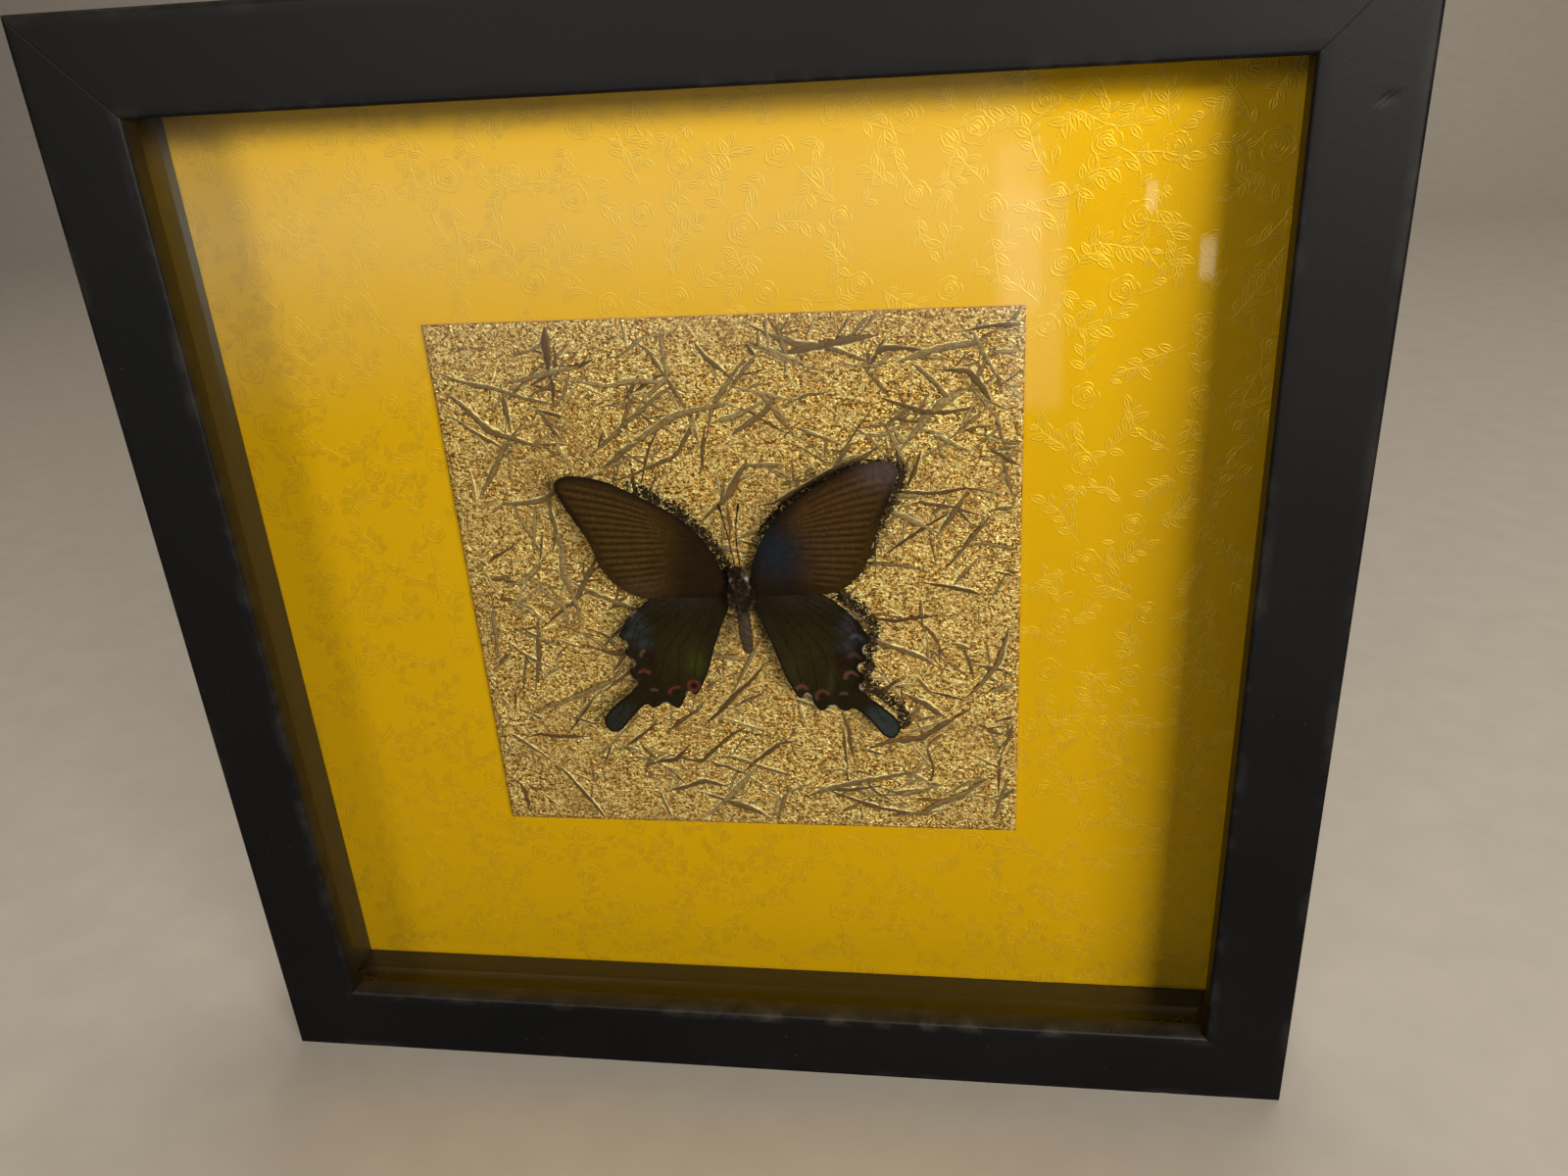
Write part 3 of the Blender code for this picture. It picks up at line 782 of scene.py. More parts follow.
def crinkle_lines(half, rng):
    """Creases as (line, half widths, how smooth): kinked runs with forks, stars and fine wrinkles."""
    lines = []

    def run(start, angle, length, width, smooth):
        steps = max(4, int(length / 1.1))
        kinks = np.where(rng.random(steps) < 0.16, rng.normal(0, 0.42, steps), rng.normal(0, 0.05, steps))
        headings = angle + np.cumsum(kinks) * 0.7
        line = start + np.cumsum(heading(headings) * length / steps, axis=0)
        line = np.concatenate([[start], line])
        share = np.linspace(0, 1, len(line))
        taper = np.clip(np.sin(math.pi * share ** rng.uniform(0.6, 1.6)), 0.06, 1) ** 0.8
        lines.append((line, width * rng.uniform(0.65, 1.25, len(line)) * taper, smooth))
        return line, headings

    leanings = np.array([-0.35, 0.42, 0.80, -0.95, 1.50])
    bold, plain = (100, (12, 34), (0.42, 0.80)), (215, (5, 20), (0.26, 0.52))
    stars, fine = 22, 240
    for count, length, width in (bold, plain):
        for _ in range(count):
            start = rng.uniform(-half - 4, half, 2)
            angle = rng.choice(leanings, p=[0.32, 0.26, 0.20, 0.13, 0.09]) + rng.normal(0, 0.20)
            sizes = rng.uniform(*length), rng.uniform(*width), rng.uniform(0.75, 1.0)
            line, headings = run(start, angle, *sizes)
            for _ in range(rng.integers(0, 4)):
                i = rng.integers(1, len(line) - 1)
                fork = headings[min(i, len(headings) - 1)] + rng.choice([-1, 1]) * rng.uniform(0.3, 1.0)
                run(line[i], fork, rng.uniform(2.5, 11), rng.uniform(0.14, 0.40), rng.uniform(0.5, 1.0))
    for _ in range(stars):
        hub = rng.uniform(-half, half, 2)
        for k in range(rng.integers(4, 7)):
            run(hub, TAU * k / 5 + rng.normal(0, 0.35), rng.uniform(2, 7), rng.uniform(0.16, 0.38), 0.9)
    for _ in range(fine):
        start = rng.uniform(-half, half, 2)
        angle = rng.choice(leanings) + rng.normal(0, 0.45)
        run(start, angle, rng.uniform(2.5, 9), rng.uniform(0.08, 0.17), rng.uniform(0.0, 0.35))
    return lines


def crease_ribbons(lines, half, surface, rng):
    """Flat-topped ridges along the creases: points, faces, each point's painted shade (dark on the smooth
    flats and on the rim away from the lamp) and painted glint.
    """
    points, faces, painted_crease_shade, painted_glints = [], [], [], []
    offsets = (-1.5, -1.1, -0.7, 0.7, 1.1, 1.5)  # in half widths
    rises = (-0.25, 0.7, 1.0, 1.0, 0.7, -0.25)
    highest = 0.78
    for line, widths, smooth in lines:
        kept = np.abs(line).max(axis=1) < half - 0.5
        if not kept.all():
            first = int(np.argmin(kept))
            if first < 4:
                continue
            line, widths = line[:first], widths[:first].copy()
            widths[-1] *= 0.3
        base = len(points)
        lit = rng.random() < 0.72
        for p, side, width in zip(line, sideways(line), widths):
            height = 0.10 + 0.34 * min(width, 0.5)
            ground = surface(p[0], p[1])
            upper = side @ np.array((-0.45, 0.9)) > 0
            # Painted glints: bright on the rim facing the lamp, fainter on rough flats.
            spark = rng.uniform(0.45, 1.0)
            for offset, rise in zip(offsets, rises):
                q = p + side * offset * width
                points.append((q[0], min(ground + height * rise, highest), q[1]))
                towards_lamp = (offset > 0) == (upper == lit)
                # Painted shade: smooth flats dark for what they mirror, and the rim away from the lamp dark.
                if abs(offset) < 0.9:
                    painted_crease_shade.append(smooth)
                    painted_glints.append(spark * 0.5 * (1 - smooth))
                else:
                    foot = rise < 0
                    painted_crease_shade.append(0.0 if foot or towards_lamp else 0.9 * smooth)
                    painted_glints.append(spark if towards_lamp else 0.0)
        faces += band_faces(len(line), len(offsets), base)
    return points, faces, painted_crease_shade, painted_glints


def wing_reflection_paint(places):
    """How strongly to paint a reflection of a wing's dark back onto the foil at each place, close to the
    wings.
    """
    strongest = np.zeros(len(places))
    for side, (right, up), outline, limits in (
        (-1, (0.2, -3.3), FOREWING, (33, 22)),
        (1, (-2.6, -1.4), FOREWING, (0, 9)),
        (1, (0.6, -1.2), HINDWING, (0, 9)),
    ):
        edge = catmull(outline, 4, closed=True)
        p = (places - (right, up)) * (side, 1)
        near = (np.abs(p[:, 0] - 20) < 26) & (np.abs(p[:, 1]) < 42)
        share = np.zeros(len(places))
        share[near] = ease(3.4, 0.6, line_distance(p[near], edge, closed=True))
        strongest = np.maximum(strongest, share * ease(*limits, p[:, 0]))
    return strongest


def build_foil():
    low, high = (Vector(corner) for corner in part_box("gold_foil_card"))
    middle = (low + high) / 2
    turn = math.radians(0.27)  # the card lies slightly askew
    half = 127 / 2
    cells = 208
    rng = np.random.default_rng(23)
    axis = np.linspace(-half, half, cells + 1)
    x, z = np.meshgrid(axis, axis)
    swell = 0.10 * np.sin(x * 0.31 + 1.3 * np.sin(z * 0.2)) * np.sin(z * 0.27 + 1.1 * np.sin(x * 0.17))
    height = 0.24 + swell + rng.normal(0, 0.075, x.shape)
    hold = np.minimum(1, (half - np.maximum(np.abs(x), np.abs(z))) / 0.6)
    height = np.clip(height * hold, 0, 0.75)
    step = axis[1] - axis[0]

    def surface(at_x, at_z):
        i, j = (int(np.clip(round((value + half) / step), 1, cells - 1)) for value in (at_x, at_z))
        return height[j - 1 : j + 2, i - 1 : i + 2].mean()

    flat = np.stack([x, height, z], axis=-1).reshape(-1, 3)
    faces = band_faces(cells + 1, cells + 1)
    ridges, ribbons, painted_crease_shade, painted_glints = crease_ribbons(crinkle_lines(half, rng), half, surface, rng)
    faces += [[i + len(flat) for i in face] for face in ribbons]
    front_faces = len(faces)
    creased = slice(len(flat), len(flat) + len(ridges))
    flat = np.concatenate([flat, np.array(ridges)])
    px = middle.x + MM * (flat[:, 0] * math.cos(turn) - flat[:, 2] * math.sin(turn))
    pz = middle.z + MM * (flat[:, 0] * math.sin(turn) + flat[:, 2] * math.cos(turn))
    points = np.stack([px, low.y - flat[:, 1] * MM, pz], axis=-1)
    points = close_sheet(points, faces, cells + 1, 0, high.y)
    # The creases' painted shade and painted glints.
    crease, painted_glint = np.zeros(len(points)), np.zeros(len(points))
    crease[creased], painted_glint[creased] = painted_crease_shade, painted_glints
    # A painted reflection of the dark wings on the foil near them.
    painted_reflection = wing_reflection_paint((points[:, [0, 2]] - (BUTTERFLY.x, BUTTERFLY.z)) / MM)
    looks = {"crease": crease, "painted_glint": painted_glint, "painted_reflection": painted_reflection}
    name, slot = "crinkled_foil_card", "gold_foil"
    foil = add_piece(name, points, faces, foil_material(), ["gold_foil_card"], attributes=looks)
    foil.data.materials.append(cut_edge_material())
    for polygon in foil.data.polygons[front_faces:]:
        polygon.material_index = 1
        polygon.use_smooth = False


def cut_edge_material():
    shade = Shade("foil_card_cut_edge", Roughness=0.8)
    layers = shade.noise(900, 3, 0.6, vector=shade.stretched((0.3, 6, 0.3)))
    shade.set("Base Color", shade.mix(layers, (0.42, 0.32, 0.17), (0.75, 0.64, 0.42)))
    shade.bump(layers, 0.00005)
    return shade.material


# ---------------------------------------------------------------- butterfly

# The wings' right-hand outlines in millimetres from the butterfly's middle: outward, then up.
FOREWING = [
    (2.9, 2.6), (4.2, 8.0), (7.7, 14.4), (12.3, 19.6), (18.7, 24.2), (26.0, 28.2), (32.0, 29.9),
    (36.2, 29.9), (38.2, 28.2), (37.4, 25.0), (35.0, 19.8), (32.3, 14.4), (30.6, 9.2), (28.2, 5.2),
    (24.9, 2.2), (21.1, 0.7), (16.5, 0.6), (10.0, 0.2), (3.1, 0.0),
]
HINDWING = [
    (2.9, 2.0), (2.6, -1.0), (3.4, -4.0), (5.0, -7.6), (7.2, -13.5), (8.9, -19.0), (11.7, -24.7),
    (13.0, -25.1), (14.1, -24.6), (16.6, -28.7), (19.6, -27.5), (22.5, -28.8), (24.7, -28.2),
    (28.2, -31.5), (30.8, -34.7), (33.0, -35.5), (34.9, -33.6), (34.2, -30.6), (31.4, -28.0),
    (28.0, -25.2), (26.2, -22.3), (27.2, -19.2), (26.0, -16.8), (27.8, -14.3), (27.3, -12.0),
    (28.8, -9.9), (27.4, -7.4), (25.7, -4.6), (22.4, -2.0), (19.5, 0.3), (14.0, 2.4), (7.0, 2.8),
]
NOTCHES = [(26.2, -22.3), (26.0, -16.8), (27.3, -12.0), (14.1, -24.6), (19.6, -27.5), (24.9, -4.0)]
HINDWING_VEINS = (
    [(8, -3), (15, -13), (16.6, -27)],
    [(10, -3), (18, -13), (22.5, -27.5)],
    [(12, -2), (22, -11.5), (31, -31)],
    [(13, -1), (24, -9), (26.8, -18.5)],
    [(13, 0), (24, -6), (27.2, -14)],
    [(13, 1), (22, -2.5), (28, -9.5)],
    [(6, -4), (11, -14), (12.6, -22)],
)
# The hindwings' crescents: centre, radius, first and last angle, colour and width.
RED, CREAM = (0.36, 0.085, 0.055), (0.34, 0.20, 0.125)
LEFT_CRESCENTS = (
    ((12.6, -22.9), 1.25, 0.0, TAU, RED, 0.42),
    ((16.6, -25.3), 2.0, 0.05, 1.9, RED, 0.38),
    ((22.2, -25.4), 1.3, 0.9, 2.3, CREAM, 0.34),
    ((24.0, -20.4), 1.4, 0.5, 2.7, RED, 0.46),
    ((22.8, -15.2), 1.5, -0.1, 1.3, CREAM, 0.38),
)
RIGHT_CRESCENTS = (
    ((12.6, -24.0), 1.5, 0.6, 2.4, (0.38, 0.12, 0.09), 0.45),
    ((17.4, -25.0), 1.35, 0.3, 3.8, (0.30, 0.11, 0.07), 0.46),
    ((22.3, -25.3), 1.2, 0.9, 2.4, (0.30, 0.14, 0.10), 0.34),
    ((24.2, -20.2), 1.4, 0.3, 3.4, (0.34, 0.17, 0.12), 0.48),
    ((25.0, -15.4), 1.3, 0.4, 2.8, (0.20, 0.085, 0.090), 0.62),
    ((25.6, -10.6), 1.2, 0.4, 2.8, (0.17, 0.17, 0.21), 0.5),
)
BUTTERFLY = Vector((0.7 * MM, 0, CENTRE.z))
VEIN_SPACING = 3.4
WING_STEP = 0.27  # between the points of a wing's mesh
WING_THICKNESS = 0.13


def wing_material(name):
    """Wing scales: the painted colour broken up by fine rows of scales."""
    shade = Shade(name, Specular_IOR_Level=0.03)
    scales = shade.cells(3600, vector=shade.stretched((1, 1, 1.7)))
    dust = shade.noise(1300, 3, 0.65)
    colour = shade.attribute("Col", "Color")
    broken = shade.ramp(dust, [(0.30, 0.40), (0.50, 0.55), (0.72, 0.78)])
    shade.set("Base Color", shade.mix(1.0, colour, broken, "MULTIPLY"))
    shade.set("Roughness", shade.ramp(dust, [(0.3, 0.62), (0.7, 0.78)]))
    shade.bump(scales, 0.00002, 0.5)
    return shade.material


def wing_mesh(outline, step, teeth=None):
    """Points and triangles that fill an outline; the boundary's points come first."""
    edge = evenly(catmull(outline, 8, closed=True), step, closed=True)
    if teeth:
        bite = np.where(np.arange(len(edge)) % 3 == 0, 1.0, 0.0)
        edge = edge - outward_normals(edge) * (bite * teeth(edge))[:, None]
    low, high = edge.min(axis=0), edge.max(axis=0)
    lattice = []
    for j, height in enumerate(np.arange(low[1], high[1], step * 0.866)):
        across = np.arange(low[0] + (step / 2 if j % 2 else 0), high[0], step)
        lattice.append(np.stack([across, np.full(len(across), height)], axis=1))
    lattice = np.concatenate(lattice)
    lattice = lattice[inside(lattice, edge)]
    lattice = lattice[line_distance(lattice, edge, closed=True) > step * 0.55]
    points = np.concatenate([edge, lattice])
    made = delaunay_2d_cdt([Vector(p) for p in points], [], [list(range(len(edge)))], 1, 1e-7)
    verts = np.array([tuple(v) for v in made[0]])
    return verts, [tuple(f) for f in made[2]], edge


def vein_coordinate(s, z):
    """Which vein line a point of the forewing is on, as the height where that line meets the margin."""
    u = z.copy()
    inward = 31 - s
    for _ in range(8):
        slope = 0.012 * (u - 12.5) + 0.06 * ease(18, 27, u)
        bend = 0.013 * ease(13, 25, u)
        u = z + slope * inward + bend * np.maximum(inward, 0) ** 2 * 0.8
    return u


def mixed(base, colour, amount):
    return base * (1 - amount[:, None]) + np.array(colour) * amount[:, None]


def layered(base, *layers):
    """The base colour under layers of (colour, amount)."""
    for colour, amount in layers:
        base = mixed(base, colour, amount)
    return base


def paint_forewing(p, margin, side):
    """Brown scales with fine dark streaks along and between the veins, a dark base and a dark border."""
    s, z = p.T
    u = vein_coordinate(s, z)
    phase = (u / VEIN_SPACING * 2) % 1.0
    streak = hump(phase, 0.5, 0.20) * (0.8 + 0.2 * np.sin(u * 3.7))
    inner = 14.0 + 0.25 * np.abs(z - 12) + 0.8 * np.sin(u * 2.1)
    zone = ease(inner, inner + 4.0, s) * ease(0.6, 2.6, margin)
    pale = hump(phase, 0.0, 0.10) + hump(phase, 1.0, 0.10)
    costa = ease(1.6, 0.2, margin) * ease(0, 6, z - 0.42 * s)
    colour = layered(
        np.tile((0.078, 0.042, 0.0080) if side < 0 else (0.088, 0.046, 0.0130), (len(p), 1)),
        ((0.050, 0.026, 0.0050), ease(4.5, 0.5, margin)),
        ((0.017, 0.0085, 0.0020), ease(25, 12, s + 0.25 * z) * 0.9),
        ((0.016, 0.0080, 0.0020), zone * streak * 0.92),
        ((0.125, 0.072, 0.020), zone * np.clip(pale, 0, 1) * 0.45),
        ((0.012, 0.0065, 0.002), costa * 0.8),
    )
    if side < 0:
        return mixed(colour, (0.085, 0.058, 0.026), blob(p, (22, 3), (6, 2.6)) * 0.5)
    # The right forewing also gets a painted blue sheen near its base, a rust patch and a pale purple-grey
    # patch at the apex.
    return layered(
        colour,
        ((0.015, 0.027, 0.043), blob(p, (10, 10.5), (6, 6)) * 0.80),
        ((0.110, 0.040, 0.012), blob(p, (24, 21), (7, 4)) * 0.35 * (1 - 0.8 * streak * zone)),
        ((0.125, 0.090, 0.085), blob(p, (35, 28), (5, 3.4)) * 0.75),
    )


def paint_hindwing(p, margin, side):
    """Black with a green dusting, blue scales at the outer lobes and red crescents along the margin."""
    s, z = p.T
    ray = hump(s - 0.12 * z, 22.0, 0.9) * ease(-26.5, -21, z) * ease(-15, -19, z)
    colour = layered(
        np.tile((0.0200, 0.0140, 0.0040), (len(p), 1)),
        ((0.036, 0.028, 0.0060), blob(p, (14.5, -14.5), (6.5, 8.5)) * 0.75),
        ((0.052, 0.055, 0.008), blob(p, (11.4, -17.2), (2, 3)) * (0.85 if side < 0 else 0.35)),
        ((0.050, 0.042, 0.012), ray * (0.7 if side > 0 else 0.15)),
        ((0.040, 0.029, 0.024), hump(z, 1.5, 4.0) * ease(5, 12, s) * 0.6),
    )
    blue = (0.040, 0.056, 0.062) if side < 0 else (0.060, 0.062, 0.082)
    for centre, size, strength in (
        ((24.6, -5.4), (2.0, 1.8), 0.7),
        ((26.0, -9.8), (2.0, 0.9), 1.0),
        ((23.3, -12.0), (2.1, 1.4), 0.8),
        ((23.5, -8.0), (2.4, 1.4), 0.7),
    ):
        colour = mixed(colour, blue, blob(p, centre, size) * strength * (0.9 if side < 0 else 0.6))
    colour = mixed(colour, (0.026, 0.007, 0.004), blob(p, (22, -15.6), (1.3, 2)) * 0.8)
    tail = ease(25.5, 29.5, s) * ease(-26.5, -29, z)
    slate = (0.026, 0.026, 0.021) if side < 0 else (0.042, 0.054, 0.053)
    colour = mixed(colour, slate, tail * ease(0.15, 0.8, margin))
    veins = sum(0.6 * (line_distance(p, np.array(line)) < 0.16) for line in HINDWING_VEINS)
    colour = mixed(colour, (0.009, 0.007, 0.004), np.clip(veins, 0, 1))
    crescents = LEFT_CRESCENTS if side < 0 else RIGHT_CRESCENTS
    for (x, y), radius, start, end, tone, width in crescents:
        away = np.hypot(s - x, z - y)
        angle = np.arctan2(z - y, s - x) % TAU
        middle, reach = (start + end) / 2, (end - start) / 2
        turn = np.abs((angle - middle + math.pi) % TAU - math.pi)
        within = 1 - ease(reach - 0.15, reach + 0.15, turn) if reach < math.pi else 1.0
        colour = mixed(colour, np.array(tone) * 0.50, hump(away, radius, width) * within * 0.9)
        colour = mixed(colour, (0.010, 0.008, 0.006), hump(away, 0, radius * 0.62) * within * 0.9)
    colour = mixed(colour, (0.008, 0.007, 0.005), ease(0.7, 0.1, margin) * 0.8)
    for x, y in NOTCHES:
        close = ease(1.5, 0.5, np.hypot(s - x, z - y)) * ease(0.42, 0.2, margin)
        colour = mixed(colour, (0.55, 0.48, 0.36), close * (0.95 if side > 0 else 0.35))
    return colour


def wing_relief(kind, p, margin, side):
    """How far each point stands towards the glass, in millimetres."""
    s, z = p.T
    span = 38 if kind == "forewing" else 30
    arch = np.sin(np.clip(s / span, 0, 1) * math.pi)
    if kind == "forewing":
        ribs = 0.07 * np.cos(TAU * (vein_coordinate(s, z) / VEIN_SPACING - 0.5)) * ease(6, 14, s)
        camber = 0.9 * arch + 0.25 * np.sin(z * 0.35 + side)
        return ribs + camber - 0.35 * ease(2.0, 0.0, margin)
    camber = 0.8 * arch + 0.2 * np.sin(z * 0.5 + 2 * side)
    lobes = 0.16 * np.cos((z + 0.5 * s) * TAU / 4.6) * ease(5.0, 0.5, margin) * ease(20, 24, s)
    curl = (1.3 if side > 0 else 0.45) * ease(2.4, 0.0, margin) * ease(24, 26.5, s) * ease(-24, -20, z)
    fold = (0.9 if side > 0 else 0.2) * ease(3.0, 0.0, margin) * ease(15, 11, s) * ease(-2, -8, z)
    tail = 0.6 * ease(27, 34, s) * ease(-26, -32, z)
    return camber * 0.8 + lobes + curl + fold + tail


def teeth(edge):
    """How far every third point of a forewing's outer margin is drawn in, for its frayed scales."""
    on_outer = (edge[:, 0] > 24) & (edge[:, 1] < 28) & (edge[:, 1] > 1.5)
    return np.where(on_outer, 0.17, 0.0)


def build_wing(kind, side_name, depth, rise, turn=0.0, shift=(0.0, 0.0)):
    """A painted wing of two skins; rise tips it towards the glass, turn and shift move it in its plane."""
    side = -1 if side_name == "left" else 1
    fore = kind == "forewing"
    outline = FOREWING if fore else HINDWING
    p, triangles, edge = wing_mesh(outline, WING_STEP, teeth if fore else None)
    margin = line_distance(p, edge, closed=True)
    colour = (paint_forewing if fore else paint_hindwing)(p, margin, side)
    relief = wing_relief(kind, p, margin, side)
    root = np.array(outline[0])
    c, n = math.cos(turn), math.sin(turn)
    q = (p - root) @ np.array([[c, n], [-n, c]]) + root + np.array(shift)
    out = q[:, 0]
    x = BUTTERFLY.x + side * MM * (out * math.cos(rise) - relief * math.sin(rise))
    y = (depth - FRAME_DEPTH / 2) - MM * (out * math.sin(rise) + relief * math.cos(rise))
    z = BUTTERFLY.z + MM * q[:, 1]
    front = np.stack([x, y, z], axis=1)
    back = front + np.array((0, WING_THICKNESS * MM, 0))
    count = len(front)
    area = sum(
        (p[b][0] - p[a][0]) * (p[c][1] - p[a][1]) - (p[c][0] - p[a][0]) * (p[b][1] - p[a][1])
        for a, b, c in triangles[:50]
    )
    faces = [tuple(reversed(t)) if area * side < 0 else t for t in triangles]
    edges = dict.fromkeys(e for a, b, c in faces for e in ((a, b), (b, c), (c, a)))
    rim = [(a, b) for a, b in edges if (b, a) not in edges]
    faces += [tuple(i + count for i in reversed(t)) for t in faces]
    faces += [(b, a, a + count, b + count) for a, b in rim]
    points = np.concatenate([front, back])
    colours = {"Col": np.concatenate([colour, colour * 0.8 + 0.004])}
    name = f"{kind}_{side_name}"
    material = wing_material(f"{kind}_scales_{side_name}")
    add_piece("scaled_" + name, points, faces, material, [name], attributes=colours)


# The body's half outline in millimetres, from head to tail: out from its axis, then up.
BODY = [
    (0.0, 8.0), (0.8, 7.8), (1.45, 7.0), (1.5, 6.1), (1.0, 5.1), (1.8, 4.2), (2.5, 2.6), (2.6, 0.9),
    (2.2, -1.0), (1.35, -2.6), (1.45, -4.5), (1.45, -8.5), (1.2, -11.2), (0.7, -12.9), (0.0, -13.6),
]
BODY_DEPTH = 16.0 * MM
BODY_LEAN = math.radians(3.5)


MERGE = 1e-6  # metres


def body_place(x, y, z):
    """From millimetres about the body's middle (across, towards the glass, up) to the frame."""
    c, n = math.cos(BODY_LEAN), math.sin(BODY_LEAN)
    across, up = x * c - z * n, x * n + z * c
    return (
        BUTTERFLY.x + (0.4 + across) * MM,
        BODY_DEPTH - FRAME_DEPTH / 2 - y * MM,
        BUTTERFLY.z + up * MM,
    )


def body_radius(height):
    table = catmull(BODY, 6)[::-1]
    return np.interp(height, table[:, 1], table[:, 0])


def body_material():
    """Dark thorax, and an abdomen of greyer brown."""
    shade = Shade("dry_body", Roughness=0.7, Specular_IOR_Level=0.1)
    fuzz = shade.noise(2100, 4, 0.7, vector=shade.stretched((1, 1, 0.35)))
    thorax = [(0.35, (0.005, 0.0032, 0.0015)), (0.55, (0.020, 0.012, 0.005)), (0.72, (0.080, 0.050, 0.024))]
    abdomen = [(0.30, (0.018, 0.012, 0.007)), (0.55, (0.060, 0.041, 0.024)), (0.75, (0.14, 0.10, 0.062))]
    dark, pale = shade.ramp(fuzz, thorax), shade.ramp(fuzz, abdomen)
    height = shade.node("ShaderNodeSeparateXYZ", {0: shade.place()}).outputs["Z"]
    below = shade.calc("SUBTRACT", BUTTERFLY.z - 1.5 * MM, height)
    shade.set("Base Color", shade.mix(shade.times(below, 1 / (3 * MM), clamp=True), dark, pale))
    shade.bump(fuzz, 0.0002, 0.9)
    return shade.material


def hair_material():
    shade = Shade("body_hair", Roughness=0.5, Specular_IOR_Level=0.15)
    browns = [(0.42, (0.006, 0.004, 0.002)), (0.54, (0.026, 0.016, 0.007)), (0.66, (0.20, 0.13, 0.065))]
    shade.set("Base Color", shade.ramp(shade.noise(700, 2, 0.6), browns))
    return shade.material


def eye_material():
    shade = Shade("eye", Roughness=0.18)
    facets = shade.cells(9000)
    shade.set("Base Color", shade.ramp(facets, [(0.1, (0.012, 0.008, 0.006)), (0.5, (0.035, 0.024, 0.018))]))
    shade.bump(facets, 0.00001)
    return shade.material


def ellipsoid(name, centre, radii, material):
    rings, segments = 14, 20
    points = []
    for polar in np.linspace(0, math.pi, rings + 1):
        for k in range(segments):
            a = TAU * k / segments
            unit = (math.sin(polar) * math.cos(a), math.sin(polar) * math.sin(a), math.cos(polar))
            points.append(body_place(*(np.array(centre) + np.array(radii) * unit)))
    faces = band_faces(rings + 1, segments, closed=True)
    clean(add_piece(name, points, faces, material), MERGE)


def build_body():
    """Head, thorax and ringed abdomen in one skin, with eyes and short hair on it."""
    segments, rings = 40, 150
    waist, ring_length = -2.6, 1.35
    points = []
    for z in np.linspace(7.98, -13.55, rings):
        radius = body_radius(z)
        if z < waist:
            radius *= 1 + 0.07 * math.cos((z - waist) * TAU / ring_length)
        elif -2.0 < z < 4.4:
            radius *= 1 + 0.03 * math.sin(z * 3.1)
        flat = 0.88 if z < waist else 0.96
        for k in range(segments):
            a = TAU * k / segments
            points.append(body_place(radius * math.cos(a), radius * flat * math.sin(a), z))
    faces = band_faces(rings, segments, closed=True) + end_caps(rings, segments)
    clean(add_piece("segmented_body", points, faces, body_material(), ["butterfly_body"]), MERGE)

    eyes = eye_material()
    for name, x in (("eye_left", -1.05), ("eye_right", 1.05)):
        ellipsoid(name, (x, 0.55, 6.5), (0.68, 0.62, 0.85), eyes)

    rng = np.random.default_rng(3)
    hairs, palp_hairs = 2600, 60
    lines, radii = [], []
    for _ in range(hairs):
        z = rng.choice([rng.uniform(-2.2, 7.6), rng.uniform(-13, -2)], p=[0.86, 0.14])
        a = rng.uniform(-0.2, math.pi + 0.2)
        radius = body_radius(z)
        foot = np.array((radius * math.cos(a), 0.95 * radius * math.sin(a), z))
        outward = np.array((math.cos(a), math.sin(a), 0.0))
        length = rng.uniform(0.3, 0.9) if z > -2.2 else rng.uniform(0.2, 0.45)
        down = np.array((rng.normal(0, 0.3), rng.normal(0, 0.2), rng.uniform(-1.6, -0.3)))
        middle = foot + length * 0.5 * (outward + 0.3 * down)
        tip = foot + length * (0.75 * outward + 0.8 * down)
        lines.append([body_place(*p) for p in (foot, middle, tip)])
        width = rng.uniform(0.022, 0.04) * MM
        radii.append([width, width * 0.8, width * 0.15])
    for sign in (-1, 1):
        for _ in range(palp_hairs):
            foot = np.array((sign * rng.uniform(0.15, 0.6), 0.6, 7.6 + rng.uniform(-0.3, 0.2)))
            tip = foot + np.array((sign * rng.uniform(0, 0.35), rng.uniform(0.2, 0.6), rng.uniform(0.5, 1.1)))
            lines.append([body_place(*foot), body_place(*((foot + tip) / 2)), body_place(*tip)])
            radii.append([0.04 * MM, 0.035 * MM, 0.008 * MM])
    points, faces = tubes(lines, radii, sides=3)
    add_piece("body_hair", points, faces, hair_material())


def build_antennae():
    shade = Shade("antenna", Roughness=0.6, Specular_IOR_Level=0.1)
    rings = shade.noise(1800, 2, 0.5, vector=shade.stretched((0.3, 0.3, 1.6)))
    shade.set("Base Color", shade.ramp(rings, [(0.35, (0.006, 0.004, 0.003)), (0.65, (0.020, 0.013, 0.008))]))
    shade.bump(rings, 0.00003)
    paths = {
        "left": [(-0.3, 8.2), (-0.7, 12.0), (-1.2, 16.0), (-1.9, 20.0), (-2.6, 23.2)],
        "right": [(0.9, 8.2), (0.6, 12.6), (0.7, 16.6), (1.1, 20.0), (1.8, 23.4)],
    }
    for side, path in paths.items():
        line = evenly(catmull(path, 8), 0.22)
        share = np.linspace(0, 1, len(line))
        club = 0.20 * ease(0.84, 0.95, share) - 0.14 * ease(0.97, 1.0, share)
        radius = 0.13 + 0.012 * np.cos(share * 320) + club
        lift = 0.3 + 1.2 * np.sin(share * math.pi * 0.5)
        across, up = line.T * MM
        depth = BODY_DEPTH - FRAME_DEPTH / 2 - lift * MM
        spots = np.stack([BUTTERFLY.x + across, depth, BUTTERFLY.z + up], axis=1)
        points, faces = tubes([spots], [radius * MM], sides=10)
        add_piece("clubbed_antenna_" + side, points, faces, shade.material, ["antenna_" + side])


# ---------------------------------------------------------------- dust and the back


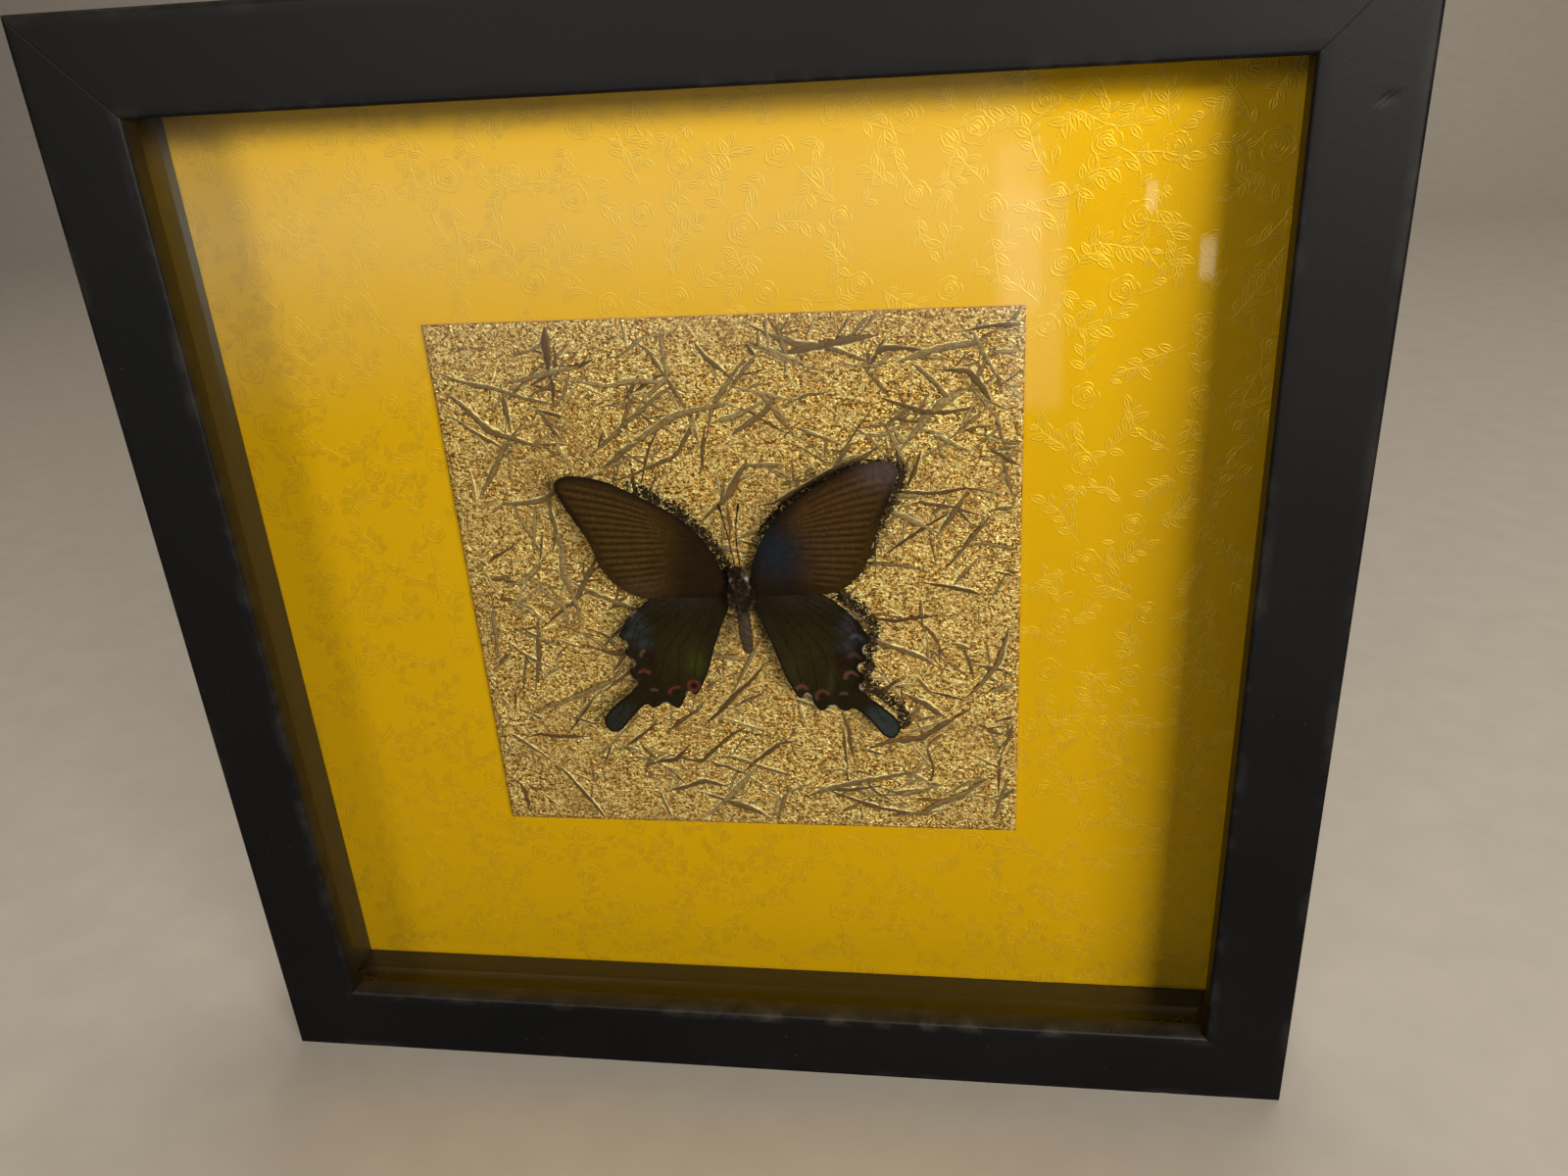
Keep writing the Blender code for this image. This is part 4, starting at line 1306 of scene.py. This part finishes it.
def build_fluff():
    """Two small wisps of dust that lie in the lower corners behind the lip."""
    shade = Shade("dust_fluff", Roughness=0.9)
    tone = shade.noise(1200, 2, 0.5)
    shade.set("Base Color", shade.mix(tone, (0.30, 0.28, 0.24), (0.62, 0.58, 0.50)))
    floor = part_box("spacer_strip_bottom")[1][2]
    rng = np.random.default_rng(8)
    inner = HALF - WALL - 3.6 * MM
    steps = 8
    wisps = (("dust_wisp_left", -inner + 5 * MM, 46), ("dust_wisp_right", inner - 6 * MM, 26))
    for name, x, amount in wisps:
        lines, radii = [], []
        for _ in range(amount):
            spread = np.array((2.6, 1.6, 0.2)) * MM
            middle = (x, -6.5 * MM, floor + 0.5 * MM) + rng.normal(0, 1, 3) * spread
            turn, bend = rng.uniform(0, TAU), rng.uniform(-2.5, 2.5)
            hops = heading(turn + bend * np.linspace(0, 1, steps)) * rng.uniform(0.3, 0.75) * MM
            line = middle + np.cumsum(np.c_[hops, rng.normal(0, 0.06 * MM, steps)], axis=0)
            line[:, 2] = np.maximum(line[:, 2], floor + 0.05 * MM)
            line[:, 1] = np.clip(line[:, 1], -10 * MM, 6 * MM)
            line[:, 0] = np.clip(line[:, 0], -inner + 0.2 * MM, inner - 0.2 * MM)
            lines.append(line)
            radii.append(np.full(steps, rng.uniform(0.02, 0.045) * MM))
        points, faces = tubes(lines, radii, sides=4)
        add_piece(name, points, faces, shade.material)


def dress_nodes():
    strip = strip_material()
    steel = metal_material("stamped_steel", (0.38, 0.37, 0.36), (0.58, 0.57, 0.56), (1, 1, 4))
    brass = metal_material("plated_brass", (0.50, 0.34, 0.12), (0.72, 0.54, 0.24), (5, 1, 1))
    for side in SIDES:
        dress("spacer_strip_" + side, strip, 0.25 * MM)
        for number in (1, 2):
            dress(f"retaining_point_{side}_{number}", steel, 0.12 * MM)
    dress("glass_pane", glass_material())
    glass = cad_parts["glass_pane"]
    glass.visible_shadow = glass.visible_diffuse = glass.visible_glossy = False
    dress("back_board", board_material(), 0.2 * MM)
    dress("sawtooth_hanger", brass, 0.1 * MM)
    for number in (1, 2):
        dress(f"hanger_rivet_{number}", brass)
    dress("foam_block", foam_material(), 0.3 * MM)


build_stage()
build_mouldings()
dress_nodes()
build_card()
build_foil()
build_wing("forewing", "left", 18.0 * MM, math.radians(7))
build_wing("forewing", "right", 18.0 * MM, math.radians(7), math.radians(4), (-0.5, 0.3))
build_wing("hindwing", "left", 18.6 * MM, math.radians(2))
build_wing("hindwing", "right", 18.6 * MM, math.radians(2))
build_body()
build_antennae()
build_fluff()
